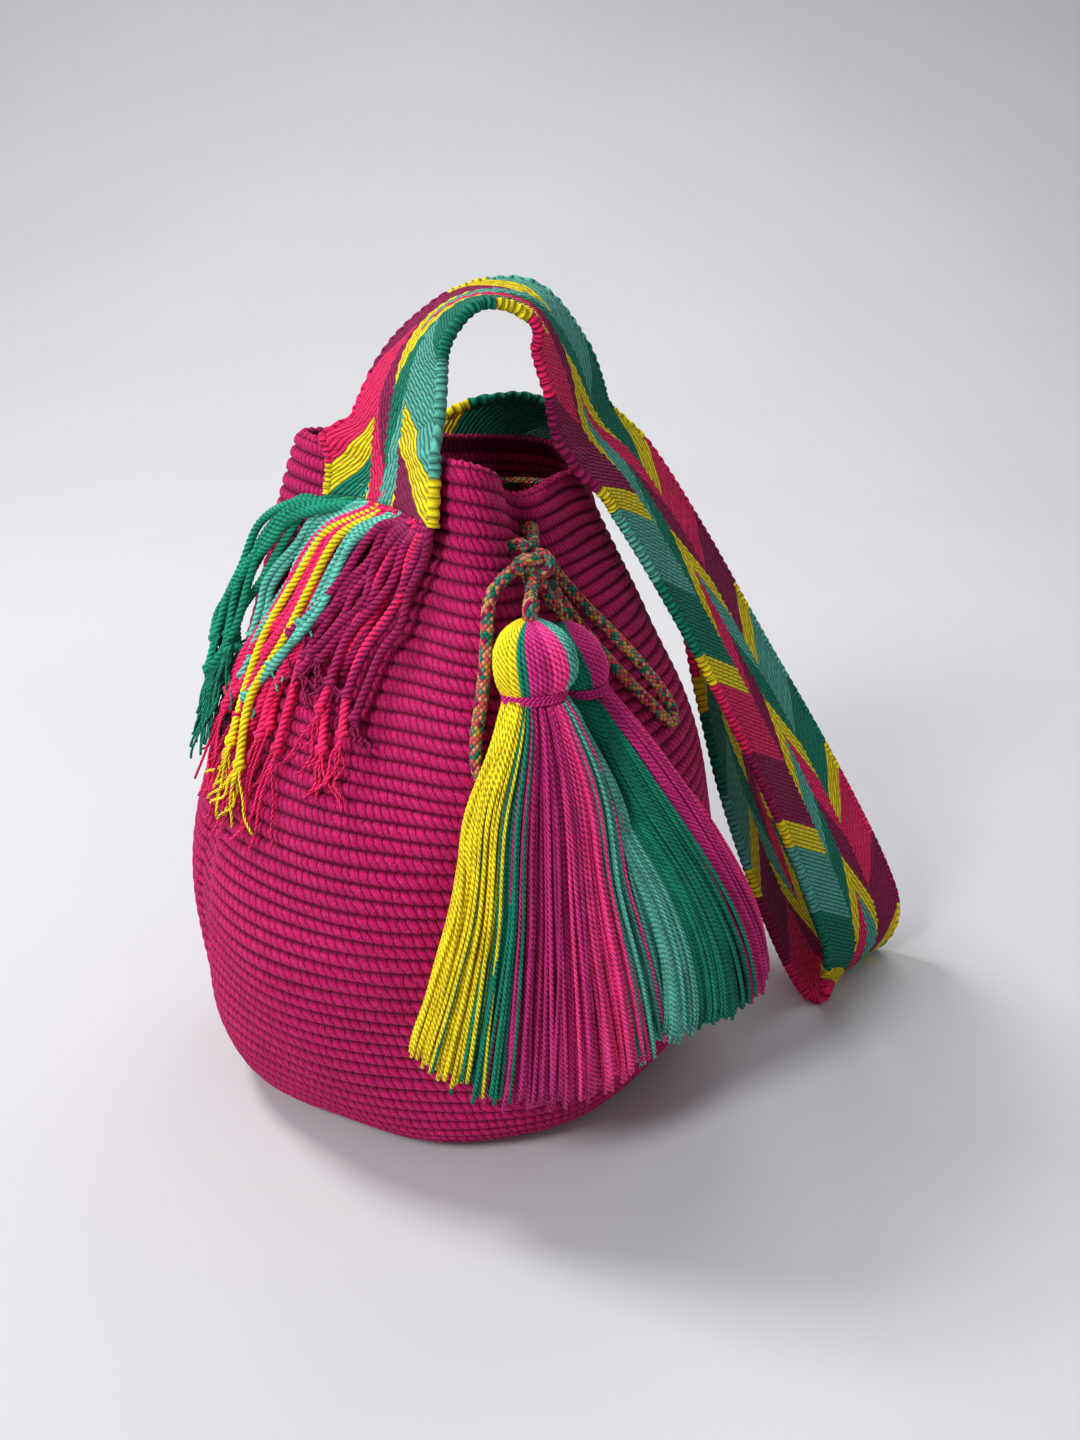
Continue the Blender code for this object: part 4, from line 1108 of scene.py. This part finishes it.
def knot_route():
    """A small overhand knot, wound as a trefoil."""
    t = np.linspace(0.0, 2.0 * np.pi * 0.985, 90)
    scale = 0.00235
    flat = np.stack([np.sin(t) + 2.0 * np.sin(2.0 * t), -1.1 * np.sin(3.0 * t),
                     np.cos(t) - 2.0 * np.cos(2.0 * t)], axis=1) * scale
    turn = math.radians(KNOT_ANGLE)
    spin = np.array([[math.cos(turn), -math.sin(turn), 0.0], [math.sin(turn), math.cos(turn), 0.0],
                     [0.0, 0.0, 1.0]])
    return flat @ spin.T + knot_centre()


def braid_shape(turn, along):
    """Raised cells where the strands of a round braid cross."""
    one = turn / (2.0 * np.pi) * BRAID_STRANDS + along / BRAID_PITCH
    two = turn / (2.0 * np.pi) * BRAID_STRANDS - along / BRAID_PITCH
    return 0.88 + 0.15 * np.abs(np.sin(np.pi * one) * np.sin(np.pi * two))


def build_cord(name, path, material):
    return add_tubes(name, path[None], CORD_DIAMETER / 2.0, 20, [material], None, braid_shape)


# ---------------------------------------------------------------- camera, light and floor
def build_camera():
    camera_data = bpy.data.cameras.new("photo_view")
    camera_data.sensor_fit = "VERTICAL"
    camera_data.sensor_height = 36.0
    camera_data.lens = 34.1
    camera = bpy.data.objects.new("photo_view", camera_data)
    camera.location = (0.043, -0.62, 0.42)
    camera.rotation_euler = (math.radians(90.0 - 22.0), 0.0, 0.0)
    bpy.context.scene.collection.objects.link(camera)
    bpy.context.scene.camera = camera


def add_area_light(name, place, target, size, power, colour):
    data = bpy.data.lights.new(name, "AREA")
    data.shape = "DISK"
    data.size = size
    data.energy = power
    data.color = colour
    lamp = bpy.data.objects.new(name, data)
    lamp.location = place
    direction = np.array(target) - np.array(place)
    lamp.rotation_euler = (math.acos(-direction[2] / np.linalg.norm(direction)), 0.0,
                           math.atan2(direction[1], direction[0]) - math.pi / 2.0)
    bpy.context.scene.collection.objects.link(lamp)


def build_lights():
    aim = (0.02, 0.0, 0.15)
    add_area_light("key_window", (-1.15, 0.55, 2.1), aim, 0.6, 36.0, (1.0, 0.99, 0.97))
    add_area_light("front_window", (-0.85, -1.15, 1.25), aim, 0.5, 19.0, (0.97, 0.98, 1.0))
    add_area_light("back", (0.4, 1.3, 1.6), (0.05, 0.3, 0.1), 1.2, 9.0, (1.0, 1.0, 1.0))


def build_stage():
    """A pale sweep: flat under the bag, curving up far behind it."""
    across = np.linspace(-5.0, 5.0, 9)
    turn = np.linspace(0.0, math.pi / 2.0, 24)
    profile = [(-4.0, 0.0), (0.0, 0.0)]
    profile += [(1.1 + 1.6 * math.sin(a), 1.6 * (1.0 - math.cos(a))) for a in turn]
    profile.append((2.7, 5.0))
    vertices = [(x, y, z - 0.0002) for y, z in profile for x in across]
    quads, corner_row, corner_col = grid_quads(len(profile), len(across), False)
    uv = np.stack([corner_col, corner_row], -1)
    sweep = add_mesh("pale_sweep", vertices, quads, uv, [sweep_material()])
    world = bpy.data.worlds.new("soft_white")
    world.use_nodes = True
    background = world.node_tree.nodes["Background"]
    background.inputs["Color"].default_value = (0.93, 0.95, 1.0, 1.0)
    background.inputs["Strength"].default_value = 0.33
    bpy.context.scene.world = world


# ---------------------------------------------------------------- assembly
def finish_piece(obj, body, slot, *nodes):
    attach(obj, body)
    if nodes:
        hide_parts(*nodes)


def build_drawstring():
    braid = braid_material()
    lacing = build_cord("laced_cord", lacing_route(), braid)
    finish_piece(lacing, "bag", "braided_drawstring", "drawstring_lacing")
    knot = build_cord("bow_knot", knot_route(), braid)
    finish_piece(knot, "bag", "braided_drawstring", "drawstring_knot")
    for name, table, node in (("bow_loop_left", LOOP_LEFT, "drawstring_loop_left"),
                              ("bow_loop_right", LOOP_RIGHT, "drawstring_loop_right")):
        path = loop_route(table)
        loop = build_cord(name, path, braid)
        finish_piece(loop, "bag", "braided_drawstring", node)
    for name, table, body, node in (
            ("cord_end_front", TASSEL_FRONT, "front_tassel", "drawstring_end_front"),
            ("cord_end_side", TASSEL_SIDE, "side_tassel", "drawstring_end_side")):
        tail = build_cord(name, end_route(table), braid)
        finish_piece(tail, body, "braided_drawstring", node)


def build_tassels():
    yarns = [thread_material("yarn_" + name, colour, 2, YARN_PITCH) for name, colour in (
        ("yellow", YELLOW), ("green", GREEN), ("magenta", TASSEL_MAGENTA), ("pink", TASSEL_PINK),
        ("aqua", AQUA))]
    binding = thread_material("binding_thread", BINDING, 2, 0.0020)
    # Each stripe: where its right-hand edge lies across the tassel, and the number of its yarn.
    front = ((-0.62, 0), (-0.38, 1), (0.20, 2), (0.66, 3), (1.2, 4))
    side = ((-1.25, 4), (-0.10, 1), (0.74, 2), (1.2, 3))

    def front_ends(place):
        return 0.050 + 0.032 * max(0.0, -place) ** 1.5 + 0.014 * max(0.0, place) ** 2

    def side_ends(place):
        return 0.066 + 0.010 * max(0.0, place) ** 2

    for label, table, body, stripes, ends, count, head_count, left_reach, right_reach, node in (
            ("front", TASSEL_FRONT, "front_tassel", front, front_ends, 620, 50, 1.0, 1.14, "tassel_front"),
            ("side", TASSEL_SIDE, "side_tassel", side, side_ends, 500, 40, 1.75, 0.98, "tassel_side")):
        neck = (table[5][0] + table[6][0]) / 2.0
        skirt = build_skirt(label + "_tassel_skirt", table, neck, ends, count, stripes, yarns, left_reach,
                            right_reach)
        finish_piece(skirt, body, "tassel_yarn", node)
        head = build_head(label + "_tassel_head", table, stripes, yarns, head_count)
        finish_piece(head, body, "tassel_yarn")
        core = build_core(label + "_tassel_core", table, yarns[2])
        finish_piece(core, body, "tassel_yarn")
        wound = build_binding(label + "_tassel_binding_thread", table, binding)
        finish_piece(wound, body, "binding_thread", node + "_binding")


def main():
    bpy.context.scene.view_settings.view_transform = "Standard"
    build_camera()
    build_lights()
    build_stage()
    build_drawstring()
    bag = build_bag(crochet_material())
    finish_piece(bag, "bag", "crochet_cotton", "bag_body")
    weave = strap_material()
    strap = build_strap(weave)
    finish_piece(strap, "bag", "woven_strap", "strap")
    edges = build_strap_edges(weave)
    finish_piece(edges, "bag", "woven_strap")
    stitches = build_end_stitches(thread_material("sewing_thread", BURGUNDY, 2, 0.0024))
    finish_piece(stitches, "bag", "woven_strap")
    ropes, frayed = build_fringe([thread_material("fringe_" + name, colour, 3, -FRINGE_TWIST / 3.0)
                                  for name, colour in FRINGE_COLOURS.items()])
    finish_piece(ropes, "bag", "twisted_fringe_cord", "strap_fringe")
    finish_piece(frayed, "bag", "twisted_fringe_cord")
    build_tassels()


main()
